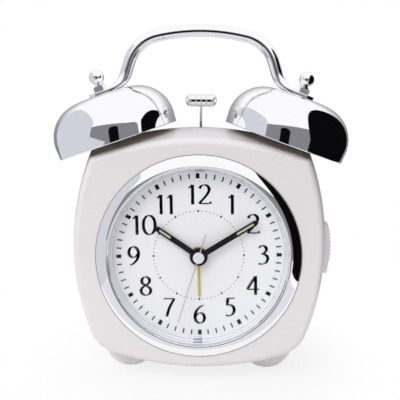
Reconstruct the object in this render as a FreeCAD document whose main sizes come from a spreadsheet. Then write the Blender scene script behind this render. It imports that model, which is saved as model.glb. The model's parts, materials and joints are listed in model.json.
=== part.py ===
import FreeCAD, Part
import math
import os
import Sketcher
from FreeCAD import Placement, Rotation, Vector

# Twin-bell quartz alarm clock. Millimetres, +Z up, the dial faces -Y.
# The origin is on the table, under the middle of the bells.
# Most pieces are drawn in the dial's own frame: x to the right, y up, z out
# of the dial towards the reader, measured from the plane through both bells.

SIZES = {
    "dial_height": 61.0,
    "case_half_width": 62.0,
    "case_top": 59.0,
    "case_bottom": 57.8,
    "side_radius": 120.0,
    "side_centre_up": 3.0,
    "top_radius": 140.0,
    "bottom_radius": 130.0,
    "upper_corner_radius": 2.5,
    "lower_corner_radius": 15.0,
    "case_wall": 2.2,
    "case_front": 27.5,
    "case_split": 6.0,
    "case_back": 24.5,
    "lobe_radius": 13.2,
    "lobe_offset": 34.0,
    "lobe_front": 13.0,
    "lobe_back": 19.0,
    "lobe_rounding": 5.0,
    "lobe_lift": 0.3,
    "pad_radius": 4.2,
    "pad_recess": 1.2,
    "pad_front": 3.5,
    "pad_back": 10.6,
    "bezel_margin": 14.5,
    "bezel_front": 30.1,
    "bezel_bulge": 12.0,
    "lens_cover": 2.1,
    "bezel_lip": 0.6,
    "bezel_step": 2.5,
    "spigot_wall": 1.5,
    "lens_thickness": 1.0,
    "flange_width": 1.6,
    "flange_slope": 1.4,
    "dial_front": 22.5,
    "dial_thickness": 0.8,
    "dial_gap": 0.3,
    "lamp_inset": 1.9,
    "lamp_half": 1.3,
    "lamp_height": 1.6,
    "seat_rib_width": 0.5,
    "bell_radius": 30.2,
    "bell_height": 23.0,
    "bell_shoulder": 17.2,
    "bell_rim_taper": 0.3,
    "bell_wall": 0.9,
    "bell_offset": 40.3,
    "bell_up": 52.0,
    "bell_tilt": 19.3,
    "boss_radius": 5.5,
    "boss_top": 2.4,
    "boss_bottom": 7.0,
    "stud_radius": 1.5,
    "fit": 0.05,
    "clearance": 0.3,
    "sleeve_radius": 4.0,
    "collar_radius": 7.0,
    "collar_height": 1.5,
    "strap_thickness": 2.3,
    "strap_width": 9.0,
    "strap_end": 6.4,
    "strap_bend": 11.5,
    "bend_radius": 9.0,
    "leg_flare": 17.5,
    "shoulder_radius": 18.0,
    "crown_radius": 95.0,
    "crown_up": 105.0,
    "handle_radius": 2.85,
    "flatten_length": 3.2,
    "nut_flats": 5.9,
    "nut_height": 2.5,
    "neck_radius": 1.9,
    "ball_radius": 3.6,
    "ball_height": 32.4,
    "hammer_up": 72.1,
    "hammer_length": 16.4,
    "hammer_radius": 3.3,
    "hammer_dome": 1.6, "hammer_tip": 0.6,
    "hammer_groove": 0.45,
    "rod_radius": 0.6,
    "pivot_up": 44.0,
    "pivot_radius": 1.0,
    "hub_radius": 3.0,
    "hub_length": 4.0,
    "armature_length": 8.0,
    "armature_width": 4.0,
    "armature_height": 4.5,
    "armature_seat": 0.5,
    "rod_start": 1.6,
    "hub_front": 4.6,
    "hub_back": 2.0,
    "ear_depth": 5.0,
    "spring_radius": 2.4,
    "hammer_dome_radius": 3.9,
    "groove_width": 0.5,
    "bracket_back": 19.0,
    "coil_back": 13.0,
    "core_leg": 4.0,
    "bobbin_flange": 1.0,
    "pole_gap": 1.9,
    "slot_length": 10.0,
    "slot_width": 3.0,
    "ear_gap": 0.5,
    "plate_gauge": 1.2,
    "bracket_half_width": 22.0,
    "hanger_x": 18.0,
    "screw_bite": 8.0,
    "screw_head_radius": 2.4,
    "screw_head_height": 1.4,
    "board_margin": 15.0,
    "board_post_up": 17.5,
    "board_post_radius": 2.2,
    "bracket_floor_up": 31.0,
    "coil_radius": 5.6,
    "coil_length": 15.0,
    "core_height": 5.0,
    "coil_front": -13.0,
    "housing_half": 28.0,
    "housing_wall": 1.5,
    "housing_depth": 18.8,
    "housing_corner": 3.0,
    "plane_pitch": 1.8,
    "plane_gap": 0.5,
    "bridge_gap": 0.4,
    "bridge_thickness": 1.0,
    "pivot_depth": 0.7,
    "rotor_radius": 2.6,
    "stator_thickness": 0.8,
    "ear_bite": 3.6,
    "ear_up": 36.5,
    "screw_radius": 1.25,
    "screw_boss_radius": 3.0,
    "case_screw_margin": 15.0,
    "case_screw_up": 27.0,
    "screw_sink": 4.0,
    "second_shaft_radius": 0.5,
    "minute_tube_radius": 1.2,
    "hour_tube_radius": 2.1,
    "alarm_tube_radius": 3.0,
    "wheel_thickness": 0.9,
    "arbor_radius": 0.6,
    "motion_distance": 16.0,
    "motion_angle": 135.0,
    "alarm_distance": 18.0,
    "alarm_angle": 45.0,
    "third_distance": 14.4,
    "third_angle": -30.0,
    "step_distance": 9.6,
    "step_angle": -110.0,
    "rotor_distance": 9.8,
    "rotor_angle": 170.0,
    "setting_shaft_radius": 1.5,
    "knob_radius": 6.5,
    "knob_height": 4.5,
    "knob_recess": 1.5,
    "minute_hand_length": 32.0,
    "minute_hand_turn": 57.6,
    "hour_hand_length": 24.3,
    "hour_hand_turn": -56.4,
    "hand_width": 2.6,
    "hand_hub_radius": 4.15,
    "hand_thickness": 0.5,
    "minute_hand_front": 25.4,
    "hour_hand_front": 24.1,
    "alarm_hand_front": 22.9,
    "second_hand_front": 26.8,
    "cap_front": 28.0,
    "second_hand_thickness": 0.3,
    "second_hand_width": 0.6,
    "second_hub_radius": 1.6,
    "alarm_hand_thickness": 0.4,
    "alarm_hand_width": 1.0,
    "lume_depth": 0.2,
    "second_hand_length": 32.6,
    "second_hand_tail": 11.3,
    "second_hand_turn": 196.6,
    "cap_radius": 2.6,
    "alarm_hand_length": 19.8,
    "alarm_hand_turn": 178.6,
    "lume_width": 1.3,
    "minute_lume_length": 10.0,
    "hour_lume_length": 7.2,
    "lume_end": 1.8,
    "button_up": 0.55,
    "button_length": 24.5,
    "button_depth": 9.0,
    "button_front": 3.0,
    "button_proud": 2.2,
    "button_crown": 1.3,
    "button_crown_radius": 58.0,
    "button_body": 7.0,
    "button_lip": 1.2,
    "button_boss": 3.5,
    "boss_pin_radius": 1.4,
    "rib_pitch": 3.4,
    "rib_radius": 0.6,
    "switch_rise": 7.0,
    "board_gauge": 1.2,
    "board_half_height": 21.0,
    "board_half_depth": 5.0,
    "button_travel": 1.5,
    "button_spring_radius": 2.6,
    "switch_slot": 10.0,
    "switch_width": 4.0,
    "switch_up": 24.0,
    "switch_travel": 4.0,
    "switch_stem": 4.0,
    "cell_radius": 7.25,
    "cell_length": 49.5,
    "cell_pitch": 15.5,
    "contact_room": 3.0,
    "contact_gauge": 0.4,
    "nub_radius": 2.6,
    "nub_height": 1.0,
    "coil_contact_radius": 3.2,
    "door_tab": 5.0,
    "door_lip": 1.5,
    "cells_up": -24.0,
    "cell_centre_back": 15.0,
    "bay_wall": 1.4,
    "door_thickness": 1.5,
    "door_ledge": 1.0,
}


class Size:
    """A number that remembers the sheet expression it came from."""

    def __init__(self, value, text):
        self.value = value
        self.text = text

    def __add__(self, other):
        return Size(self.value + number(other), f"({self.text} + {text_of(other)})")

    def __radd__(self, other):
        return Size(number(other) + self.value, f"({text_of(other)} + {self.text})")

    def __sub__(self, other):
        return Size(self.value - number(other), f"({self.text} - {text_of(other)})")

    def __rsub__(self, other):
        return Size(number(other) - self.value, f"({text_of(other)} - {self.text})")

    def __mul__(self, other):
        return Size(self.value * number(other), f"({self.text} * {text_of(other)})")

    def __rmul__(self, other):
        return Size(number(other) * self.value, f"({text_of(other)} * {self.text})")

    def __truediv__(self, other):
        return Size(self.value / number(other), f"({self.text} / {text_of(other)})")

    def __neg__(self):
        return Size(-self.value, f"(0 - {self.text})")


def number(value):
    return value.value if isinstance(value, Size) else float(value)


def text_of(value):
    return value.text if isinstance(value, Size) else f"{float(value):.6f}"


def sine(angle):
    return Size(math.sin(math.radians(number(angle))), f"sin({text_of(angle)} * 1 deg)")


def cosine(angle):
    return Size(math.cos(math.radians(number(angle))), f"cos({text_of(angle)} * 1 deg)")


class Sheet:
    """The driving dimensions, each one a named cell of the spreadsheet."""

    def __init__(self, document, values):
        self.cells = document.addObject("Spreadsheet::Sheet", "Sizes")
        for row, (name, value) in enumerate(values.items(), start=1):
            self.cells.set(f"A{row}", str(value))
            self.cells.setAlias(f"A{row}", name)
            setattr(self, name, Size(value, f"Sizes.{name}"))


doc = FreeCAD.newDocument("alarm_clock")
size = Sheet(doc, SIZES)

# The dial's rings step inwards from the case's width, each by a margin.
size.bezel_radius = size.case_half_width - size.bezel_margin
size.seat_rib_radius = size.bezel_radius + size.seat_rib_width
size.dial_radius = size.bezel_radius - size.dial_gap
size.spigot_radius = size.bezel_radius - size.bezel_step
size.lens_radius = size.spigot_radius - size.spigot_wall
size.bezel_lip_radius = size.lens_radius - size.lens_cover
size.flange_inner_radius = size.bezel_lip_radius - size.flange_width
size.lamp_up = size.flange_inner_radius + size.lamp_inset

# The light button, its board and the case screws keep their distance to the side.
size.board_x = size.case_half_width - size.board_margin
size.case_screw_x = size.case_half_width - size.case_screw_margin
size.button_reach = size.case_half_width + size.button_proud
doc.recompute()
nodes = []

DIAL_TURN = Rotation(Vector(1, 0, 0), 90)
UPRIGHT = Rotation()


def bind(thing, prop, value):
    """Drive a property from the sheet, or set a plain number."""
    if isinstance(value, Size):
        thing.setExpression(prop, value.text)
    else:
        setattr(thing, prop, value)


def place(thing, x=0.0, up=0.0, front=0.0, turn=DIAL_TURN):
    """Put a piece at a point of the dial frame, seen from the row frame."""
    height = size.dial_height + up
    thing.Placement = Placement(Vector(number(x), -number(front), height.value), turn)
    if isinstance(x, Size):
        thing.setExpression("Placement.Base.x", x.text)
    if isinstance(front, Size):
        thing.setExpression("Placement.Base.y", (-front).text)
    thing.setExpression("Placement.Base.z", height.text)


def place_on_bell(thing, side):
    """Put a piece on the bell axis of one side, z along the axis."""
    tilt = Rotation(Vector(0, side, 0), number(size.bell_tilt))
    thing.Placement = Placement(Vector(), tilt)
    thing.setExpression("Placement.Rotation.Angle", size.bell_tilt.text)
    thing.setExpression("Placement.Base.x", (side * size.bell_offset).text)
    thing.setExpression("Placement.Base.z", (size.dial_height + size.bell_up).text)


def node(name, thing):
    """Register a finished piece under its file name."""
    thing.Label = name
    nodes.append((name, thing))
    return thing


def new_body(name):
    return doc.addObject("PartDesign::Body", f"{name}_body")


def sketch_in(body, name, plane="XY_Plane", offset=0.0):
    sketch = body.newObject("Sketcher::SketchObject", name)
    support = next(f for f in body.Origin.OriginFeatures if f.Role == plane)
    sketch.AttachmentSupport = [(support, "")]
    sketch.MapMode = "FlatFace"
    if isinstance(offset, Size):
        sketch.setExpression("AttachmentOffset.Base.z", offset.text)
    elif offset:
        sketch.AttachmentOffset = Placement(Vector(0, 0, offset), Rotation())
    return sketch


def constrain(sketch, kind, *arguments):
    """Add a dimension whose last argument is a number or a sheet size."""
    value = arguments[-1]
    index = sketch.addConstraint(Sketcher.Constraint(kind, *arguments[:-1], number(value)))
    if isinstance(value, Size):
        sketch.setExpression(f"Constraints[{index}]", value.text)


def arc_through(start, end, radius):
    """Arc geometry from start to end; a negative radius turns clockwise."""
    chord = end - start
    half = chord.Length / 2
    rise = math.sqrt(max(radius * radius - half * half, 0.0))
    left = Vector(-chord.y, chord.x, 0).normalize()
    if radius < 0:
        left = -left
    centre = (start + end) / 2 + left * rise
    first, last = (start, end) if radius > 0 else (end, start)
    begin = math.atan2(first.y - centre.y, first.x - centre.x)
    finish = math.atan2(last.y - centre.y, last.x - centre.x)
    circle = Part.Circle(centre, Vector(0, 0, 1), abs(radius))
    return Part.ArcOfCircle(circle, begin, finish)


def outline(sketch, corners):
    """Close a profile. A third number on a corner is the radius of the arc
    that arrives there, positive when it turns left."""
    points = [Vector(number(c[0]), number(c[1]), 0) for c in corners]
    count = len(corners)
    ends = []
    for i in range(count):
        start, end = points[i], points[(i + 1) % count]
        corner = corners[(i + 1) % count]
        if len(corner) == 2:
            edge = sketch.addGeometry(Part.LineSegment(start, end), False)
            ends.append((edge, 1, 2))
            continue
        radius = corner[2]
        edge = sketch.addGeometry(arc_through(start, end, number(radius)), False)
        ends.append((edge, 1, 2) if number(radius) > 0 else (edge, 2, 1))
        constrain(sketch, "Radius", edge, radius if number(radius) > 0 else -radius)
    for i in range(count):
        edge, _, last = ends[i]
        following, first, _ = ends[(i + 1) % count]
        sketch.addConstraint(Sketcher.Constraint("Coincident", edge, last, following, first))
        constrain(sketch, "DistanceX", -1, 1, following, first, corners[(i + 1) % count][0])
        constrain(sketch, "DistanceY", -1, 1, following, first, corners[(i + 1) % count][1])


def circle(sketch, x, y, radius):
    centre = Vector(number(x), number(y), 0)
    ring = sketch.addGeometry(Part.Circle(centre, Vector(0, 0, 1), number(radius)), False)
    constrain(sketch, "DistanceX", -1, 1, ring, 3, x)
    constrain(sketch, "DistanceY", -1, 1, ring, 3, y)
    constrain(sketch, "Radius", ring, radius)


def pad(body, sketch, length, name):
    feature = body.newObject("PartDesign::Pad", name)
    feature.Profile = sketch
    bind(feature, "Length", length)
    return feature


def pocket(body, sketch, length, name, forward=False):
    """Cut against the sketch normal, or along it when forward."""
    feature = body.newObject("PartDesign::Pocket", name)
    feature.Profile = sketch
    feature.Reversed = forward
    bind(feature, "Length", length)
    return feature


def revolve(body, sketch, name, axis="V_Axis"):
    feature = body.newObject("PartDesign::Revolution", name)
    feature.Profile = sketch
    feature.ReferenceAxis = (sketch, [axis])
    feature.Angle = 360
    return feature


def turned(name, corners):
    """A piece revolved about its own z axis from a half section."""
    body = new_body(name)
    sketch = sketch_in(body, f"{name}_section", "XZ_Plane")
    outline(sketch, corners)
    revolve(body, sketch, f"{name}_turned")
    return body


def ring(name, inner, outer, low, high):
    return turned(name, [(inner, low), (outer, low), (outer, high), (inner, high)])


def disc_body(name, radius, low, high):
    return turned(name, [(0, low), (radius, low), (radius, high), (0, high)])


def box(name, low, high, frame=None):
    """A box of the dial frame between two corners (x, up, front)."""
    block = doc.addObject("Part::Box", name)
    bind(block, "Length", high[0] - low[0])
    bind(block, "Width", high[1] - low[1])
    bind(block, "Height", high[2] - low[2])
    place(block, low[0], low[1], low[2])
    return block


def rod(name, radius, x, up, low, high):
    """A cylinder of the dial frame, along the dial axis."""
    bar = doc.addObject("Part::Cylinder", name)
    bind(bar, "Radius", radius)
    bind(bar, "Height", high - low)
    place(bar, x, up, low)
    return bar


def fused(name, pieces):
    union = doc.addObject("Part::MultiFuse", name)
    union.Shapes = pieces
    return union


def cut(name, base, tools):
    """Base less every tool."""
    tool = tools[0] if len(tools) == 1 else fused(f"{name}_tools", tools)
    result = doc.addObject("Part::Cut", name)
    result.Base = base
    result.Tool = tool
    return result


def group(name, pieces):
    bundle = doc.addObject("Part::Compound", f"{name}_group")
    bundle.Links = pieces
    return node(name, bundle)


# The case: a rounded square with four bowed sides, drawn as a stack of
# sections that draw in towards the front and the back.

def touching(centre_a, radius_a, centre_b, radius_b, radius):
    """Centre of a corner arc inside two large arcs, and its two touch points."""
    reach_a, reach_b = radius_a - radius, radius_b - radius
    gap = centre_b - centre_a
    distance = gap.Length
    along = (reach_a ** 2 - reach_b ** 2 + distance ** 2) / (2 * distance)
    across = math.sqrt(reach_a ** 2 - along ** 2)
    forward = gap / distance
    side = Vector(forward.y, -forward.x, 0)
    centre = centre_a + forward * along + side * across
    touch_a = centre_a + (centre - centre_a).normalize() * radius_a
    touch_b = centre_b + (centre - centre_b).normalize() * radius_b
    return centre, touch_a, touch_b


def case_section(body, name, inset, front):
    """One cross-section of the case, drawn in by inset, at a distance front."""
    sketch = sketch_in(body, name, "XY_Plane", front)
    side_x = size.case_half_width - size.side_radius
    arcs = [
        (0.0, size.case_top - size.top_radius, size.top_radius),
        (side_x, size.side_centre_up, size.side_radius),
        (0.0, size.bottom_radius - size.case_bottom, size.bottom_radius),
        (-side_x, size.side_centre_up, size.side_radius),
    ]
    corner_sizes = [size.upper_corner_radius, size.lower_corner_radius]
    corner_sizes += [size.lower_corner_radius, size.upper_corner_radius]
    centres = [Vector(number(a[0]), number(a[1]), 0) for a in arcs]
    radii = [number(a[2] - inset) for a in arcs]
    corners = []
    for i in range(4):
        j = (i + 1) % 4
        corners.append(touching(centres[i], radii[i], centres[j], radii[j],
                                number(corner_sizes[i])))
    edges = []
    for i in range(4):
        start, end = corners[i - 1][2], corners[i][1]
        edges.append(clockwise_or_not(sketch, centres[i], radii[i], start, end))
        centre, first, last = corners[i]
        edges.append(clockwise_or_not(sketch, centre, number(corner_sizes[i]), first, last))
    for i, (edge, _, last) in enumerate(edges):
        following, first, _ = edges[(i + 1) % 8]
        sketch.addConstraint(Sketcher.Constraint("Tangent", edge, last, following, first))
    for i in range(4):
        big, small = edges[2 * i][0], edges[2 * i + 1][0]
        constrain(sketch, "DistanceX", -1, 1, big, 3, arcs[i][0])
        constrain(sketch, "DistanceY", -1, 1, big, 3, arcs[i][1])
        constrain(sketch, "Radius", big, arcs[i][2] - inset)
        constrain(sketch, "Radius", small, corner_sizes[i])
    return sketch


def clockwise_or_not(sketch, centre, radius, start, end):
    """Add the short arc from start to end and tell which end is which."""
    begin = math.atan2(start.y - centre.y, start.x - centre.x)
    finish = math.atan2(end.y - centre.y, end.x - centre.x)
    left_turn = (finish - begin) % (2 * math.pi) < math.pi
    round_edge = Part.Circle(centre, Vector(0, 0, 1), radius)
    if left_turn:
        edge = sketch.addGeometry(Part.ArcOfCircle(round_edge, begin, finish), False)
        return edge, 1, 2
    edge = sketch.addGeometry(Part.ArcOfCircle(round_edge, finish, begin), False)
    return edge, 2, 1


def case_loft(body, name, runs, kind="PartDesign::AdditiveLoft"):
    """Loft the case sections: one run for the rounded edge, one for the side
    wall. A station is (inset, distance to the front)."""
    for word, stations in runs.items():
        sketches = []
        for i, (inset, front) in enumerate(stations):
            sketches.append(case_section(body, f"{name}_{word}_section_{i}", inset, front))
        loft = body.newObject(kind, f"{name}_{word}")
        loft.Profile = sketches[0]
        loft.Sections = sketches[1:]
        loft.Ruled = False


# How far the outline draws in at each depth behind the face: the edge
# rounding first, then the last of it together with the bowed side wall.
FRONT_EDGE = [(7.2, 0.0), (5.3, 0.55), (4.25, 1.9), (3.5, 4.6)]
FRONT_SIDE = [(3.5, 4.6), (1.5, 14.5)]
BACK_EDGE = [(3.6, 4.0), (4.6, 1.8), (6.0, 0.55), (8.0, 0.0)]
BACK_SIDE = [(1.5, 11.0), (3.6, 4.0)]
zero = Size(0.0, "0.0")


def front_stations(skin):
    """Sections of the front half, from the face back to the split."""
    def row(table):
        return [(inset + skin, size.case_front - skin - depth) for inset, depth in table]
    return {"edge": row(FRONT_EDGE),
            "side": row(FRONT_SIDE) + [(zero + skin, -size.case_split)]}


def back_stations(skin):
    """Sections of the back half, from the split to the back."""
    def row(table):
        return [(inset + skin, depth + skin - size.case_back) for inset, depth in table]
    return {"side": [(zero + skin, -size.case_split)] + row(BACK_SIDE),
            "edge": row(BACK_EDGE)}


def lobe(body, name, side, low, high):
    """One rounded foot lobe, a barrel along the dial axis."""
    sketch = sketch_in(body, f"{name}_section", "XZ_Plane")
    up = size.lobe_radius + size.lobe_lift - size.dial_height
    bind(sketch, "AttachmentOffset.Base.x", side * size.lobe_offset)
    sketch.setExpression("AttachmentOffset.Base.z", (-up).text)
    return sketch


def barrel_outline(low, high, round_low, round_high):
    r = size.lobe_radius
    e = size.lobe_rounding
    corners = [(0, low)]
    corners += [(r - e, low), (r, low + e, e)] if round_low else [(r, low)]
    corners += [(r, high - e), (r - e, high, e)] if round_high else [(r, high)]
    return corners + [(0, high)]


def add_lobes(body, name, low, high, round_low, round_high):
    for side, word in ((-1, "left"), (1, "right")):
        sketch = lobe(body, f"{name}_{word}_lobe", side, low, high)
        outline(sketch, barrel_outline(low, high, round_low, round_high))
        revolve(body, sketch, f"{name}_{word}_lobe")


def pad_places():
    """The four pads under the lobes: x and distance to the front."""
    for side in (-1, 1):
        for front in (size.pad_front, -size.pad_back):
            yield side * size.lobe_offset, front


def drill_down(body, name, x, front, radius, low, high):
    """Cut a vertical hole, low and high measured from the table."""
    sketch = sketch_in(body, name, "XZ_Plane", size.dial_height - high)
    circle(sketch, x, front, radius)
    return pocket(body, sketch, high - low, f"{name}_hole", forward=True)


def post_holes():
    side = size.case_screw_x
    up = size.case_screw_up
    return [(side, up), (-side, up), (side, -up), (-side, -up)]


def ear_holes():
    up = size.ear_up
    return [(up, up), (-up, up), (up, -up), (-up, -up)]


def tilt_sketch(sketch, side, along):
    """Lay a sketch square to one bell axis, at a distance along it."""
    lean = size.bell_tilt
    base_x = side * (size.bell_offset + sine(lean) * along)
    base_up = size.bell_up + cosine(lean) * along
    turn = Rotation(Vector(0, 0, 1), -side * lean.value) * Rotation(Vector(1, 0, 0), -90)
    sketch.AttachmentOffset = Placement(Vector(base_x.value, base_up.value, 0), turn)
    sketch.setExpression("AttachmentOffset.Base.x", base_x.text)
    sketch.setExpression("AttachmentOffset.Base.y", base_up.text)


wall = size.case_wall


def front_case():
    body = new_body("front_case")
    case_loft(body, "front_shell", front_stations(zero))
    add_lobes(body, "front", -size.case_split, size.lobe_front, False, True)
    case_loft(body, "front_hollow", front_stations(wall), "PartDesign::SubtractiveLoft")

    posts = sketch_in(body, "front_posts", "XY_Plane", -size.case_split)
    for x, up in post_holes():
        circle(posts, x, up, size.screw_boss_radius)
    pad(body, posts, size.case_split + size.case_front - 1.2 * wall, "front_screw_posts")

    seats = sketch_in(body, "ear_posts", "XY_Plane", size.dial_front - size.dial_thickness)
    for x, up in ear_holes():
        circle(seats, x, up, size.screw_boss_radius)
    pad(body, seats, size.case_front - size.dial_front - wall / 2, "ear_screw_posts")

    rib = sketch_in(body, "seat_rib", "XY_Plane", size.dial_front)
    circle(rib, 0, 0, size.seat_rib_radius)
    pad(body, rib, size.case_front - size.dial_front - wall / 2, "dial_seat_rib")

    mouth = sketch_in(body, "dial_mouth", "XY_Plane", size.case_front + wall)
    circle(mouth, 0, 0, size.spigot_radius + size.fit)
    pocket(body, mouth, size.case_front - size.dial_front + 2 * wall, "dial_opening")

    for name, places, low, depth in (
            ("post", post_holes(), -size.case_split, size.screw_bite + 1.0),
            ("ear", ear_holes(), size.dial_front - size.dial_thickness, size.ear_bite + 0.3)):
        holes = sketch_in(body, f"{name}_pilot", "XY_Plane", low)
        for x, up in places:
            circle(holes, x, up, size.screw_radius + size.fit)
        pocket(body, holes, depth, f"{name}_pilot_holes", forward=True)

    for side, word in ((-1, "left"), (1, "right")):
        seat = sketch_in(body, f"{word}_bell_seat", "XY_Plane")
        tilt_sketch(seat, side, size.boss_top)
        circle(seat, 0, 0, size.boss_radius)
        boss = pad(body, seat, size.boss_top + size.boss_bottom, f"{word}_bell_boss")
        boss.Reversed = True
        hole = sketch_in(body, f"{word}_stud_hole_sketch", "XY_Plane")
        tilt_sketch(hole, side, size.boss_top)
        circle(hole, 0, 0, size.stud_radius + size.fit)
        pocket(body, hole, size.boss_top + size.boss_bottom + 1.0, f"{word}_stud_hole")

    hangers = sketch_in(body, "bracket_hangers", "XZ_Plane", wall / 2 + 1.0 - size.case_top)
    for side in (-1, 1):
        circle(hangers, side * size.hanger_x, 0, size.screw_boss_radius)
    drop = size.case_top - wall / 2 - 1.0 - size.bracket_floor_up - size.plate_gauge
    pad(body, hangers, drop, "bracket_hanger_posts")
    pilots = sketch_in(body, "hanger_pilots", "XZ_Plane",
                       -size.bracket_floor_up - size.plate_gauge)
    for side in (-1, 1):
        circle(pilots, side * size.hanger_x, 0, size.screw_radius + size.fit)
    pocket(body, pilots, size.screw_bite, "hanger_pilot_holes")

    arms = sketch_in(body, "switch_board_arms", "YZ_Plane", size.board_x)
    for side in (-1, 1):
        up = size.button_up + side * size.board_post_up
        circle(arms, up, size.button_front, size.board_post_radius)
    pad(body, arms, size.case_half_width - size.board_x - 1.55 * wall, "switch_board_posts")

    slot = sketch_in(body, "hammer_slot_sketch", "XZ_Plane", -size.case_top - 1.0)
    half, deep = size.slot_length / 2, size.slot_width / 2
    outline(slot, [(-half, -deep), (half, -deep), (half, deep), (-half, deep)])
    pocket(body, slot, 3 * wall, "hammer_slot", forward=True)

    window = sketch_in(body, "button_window_sketch", "YZ_Plane", size.case_half_width + 2.0)
    low = size.button_up - size.button_length / 2 - size.clearance
    high = size.button_up + size.button_length / 2 + size.clearance
    near = size.button_front - size.button_depth / 2 - size.clearance
    far = size.button_front + size.button_depth / 2 + size.clearance
    outline(window, [(low, near), (high, near), (high, far), (low, far)])
    pocket(body, window, 3 * wall + 2.0, "button_window")

    for x, front in pad_places():
        if number(front) > -number(size.case_split):
            name = "left_pad_seat" if number(x) < 0 else "right_pad_seat"
            drill_down(body, name, x, front, size.pad_radius + size.fit, zero, size.pad_recess)
    place(body)
    return node("front_case", body)


def root(value):
    return Size(math.sqrt(number(value)), f"sqrt({text_of(value)})")


def rectangle(x, up, half_width, half_height):
    low, high = up - half_height, up + half_height
    left, right = x - half_width, x + half_width
    return [(left, low), (right, low), (right, high), (left, high)]


def polar(distance, angle):
    return distance * cosine(angle), distance * sine(angle)


dial_back = size.dial_front - size.dial_thickness
motion_place = polar(size.motion_distance, size.motion_angle)
alarm_place = polar(size.alarm_distance, size.alarm_angle)
third_place = polar(size.third_distance, size.third_angle)
step_place = polar(size.step_distance, size.step_angle)
rotor_hop = polar(size.rotor_distance, size.rotor_angle)
rotor_place = (step_place[0] + rotor_hop[0], step_place[1] + rotor_hop[1])
bay_half = size.cell_length / 2 + size.contact_room
bay_rise = size.cell_pitch / 2 + size.cell_radius + size.clearance
bay_floor = size.cell_centre_back - size.cell_radius - size.clearance
stud_end = size.boss_bottom + size.nut_height + 1.0


def rear_cover():
    body = new_body("rear_cover")
    case_loft(body, "rear_shell", back_stations(zero))
    add_lobes(body, "rear", -size.lobe_back, -size.case_split, True, False)
    case_loft(body, "rear_hollow", back_stations(wall), "PartDesign::SubtractiveLoft")

    tubes = sketch_in(body, "rear_tubes", "XY_Plane", wall / 2 - size.case_back)
    for x, up in post_holes():
        circle(tubes, x, up, size.screw_boss_radius)
    pad(body, tubes, size.case_back - wall / 2 - size.case_split, "rear_screw_tubes")

    bay = sketch_in(body, "bay_walls", "XY_Plane", wall / 2 - size.case_back)
    outline(bay, rectangle(0, size.cells_up, bay_half + size.bay_wall, bay_rise + size.bay_wall))
    pad(body, bay, size.case_back - wall / 2 - bay_floor + size.bay_wall, "battery_bay_block")
    hollow = sketch_in(body, "bay_hollow", "XY_Plane", -size.case_back - 1.0)
    outline(hollow, rectangle(0, size.cells_up, bay_half, bay_rise))
    pocket(body, hollow, size.case_back + 1.0 - bay_floor, "battery_bay", forward=True)
    seat = sketch_in(body, "door_seat", "XY_Plane", -size.case_back - 1.0)
    ledge = size.door_ledge + size.fit
    outline(seat, rectangle(0, size.cells_up, bay_half + ledge, bay_rise + ledge))
    pocket(body, seat, size.door_thickness + 1.0, "door_recess", forward=True)

    holes = sketch_in(body, "rear_holes", "XY_Plane", -size.case_back - 1.0)
    for x, up in (motion_place, alarm_place):
        circle(holes, x, up, size.setting_shaft_radius + size.clearance)
    for x, up in post_holes():
        circle(holes, x, up, size.screw_radius + size.fit)
    pocket(body, holes, size.case_back - size.case_split + 2.0, "rear_through_holes", forward=True)
    sinks = sketch_in(body, "rear_sinks", "XY_Plane", -size.case_back - 1.0)
    for x, up in post_holes():
        circle(sinks, x, up, size.screw_head_radius + size.clearance)
    pocket(body, sinks, 1.0 + size.screw_sink, "screw_sinks", forward=True)

    slot = sketch_in(body, "switch_slot_sketch", "XY_Plane", -size.case_back - 1.0)
    reach = (size.switch_stem + size.switch_travel) / 2 + size.clearance
    outline(slot, rectangle(0, size.switch_up, reach, size.switch_width / 2 + size.clearance))
    pocket(body, slot, wall + 2.0, "switch_slot", forward=True)

    for x, front in pad_places():
        if number(front) < -number(size.case_split):
            name = "left_rear_pad_seat" if number(x) < 0 else "right_rear_pad_seat"
            drill_down(body, name, x, front, size.pad_radius + size.fit, zero, size.pad_recess)
    place(body)
    return node("rear_cover", body)


def foot_pads():
    pads = []
    for i, (x, front) in enumerate(pad_places()):
        pad_disc = doc.addObject("Part::Cylinder", f"foot_pad_{i}")
        bind(pad_disc, "Radius", size.pad_radius)
        bind(pad_disc, "Height", size.pad_recess)
        place(pad_disc, x, -size.dial_height, front, UPRIGHT)
        pads.append(pad_disc)
    return group("foot_pads", pads)


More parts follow.
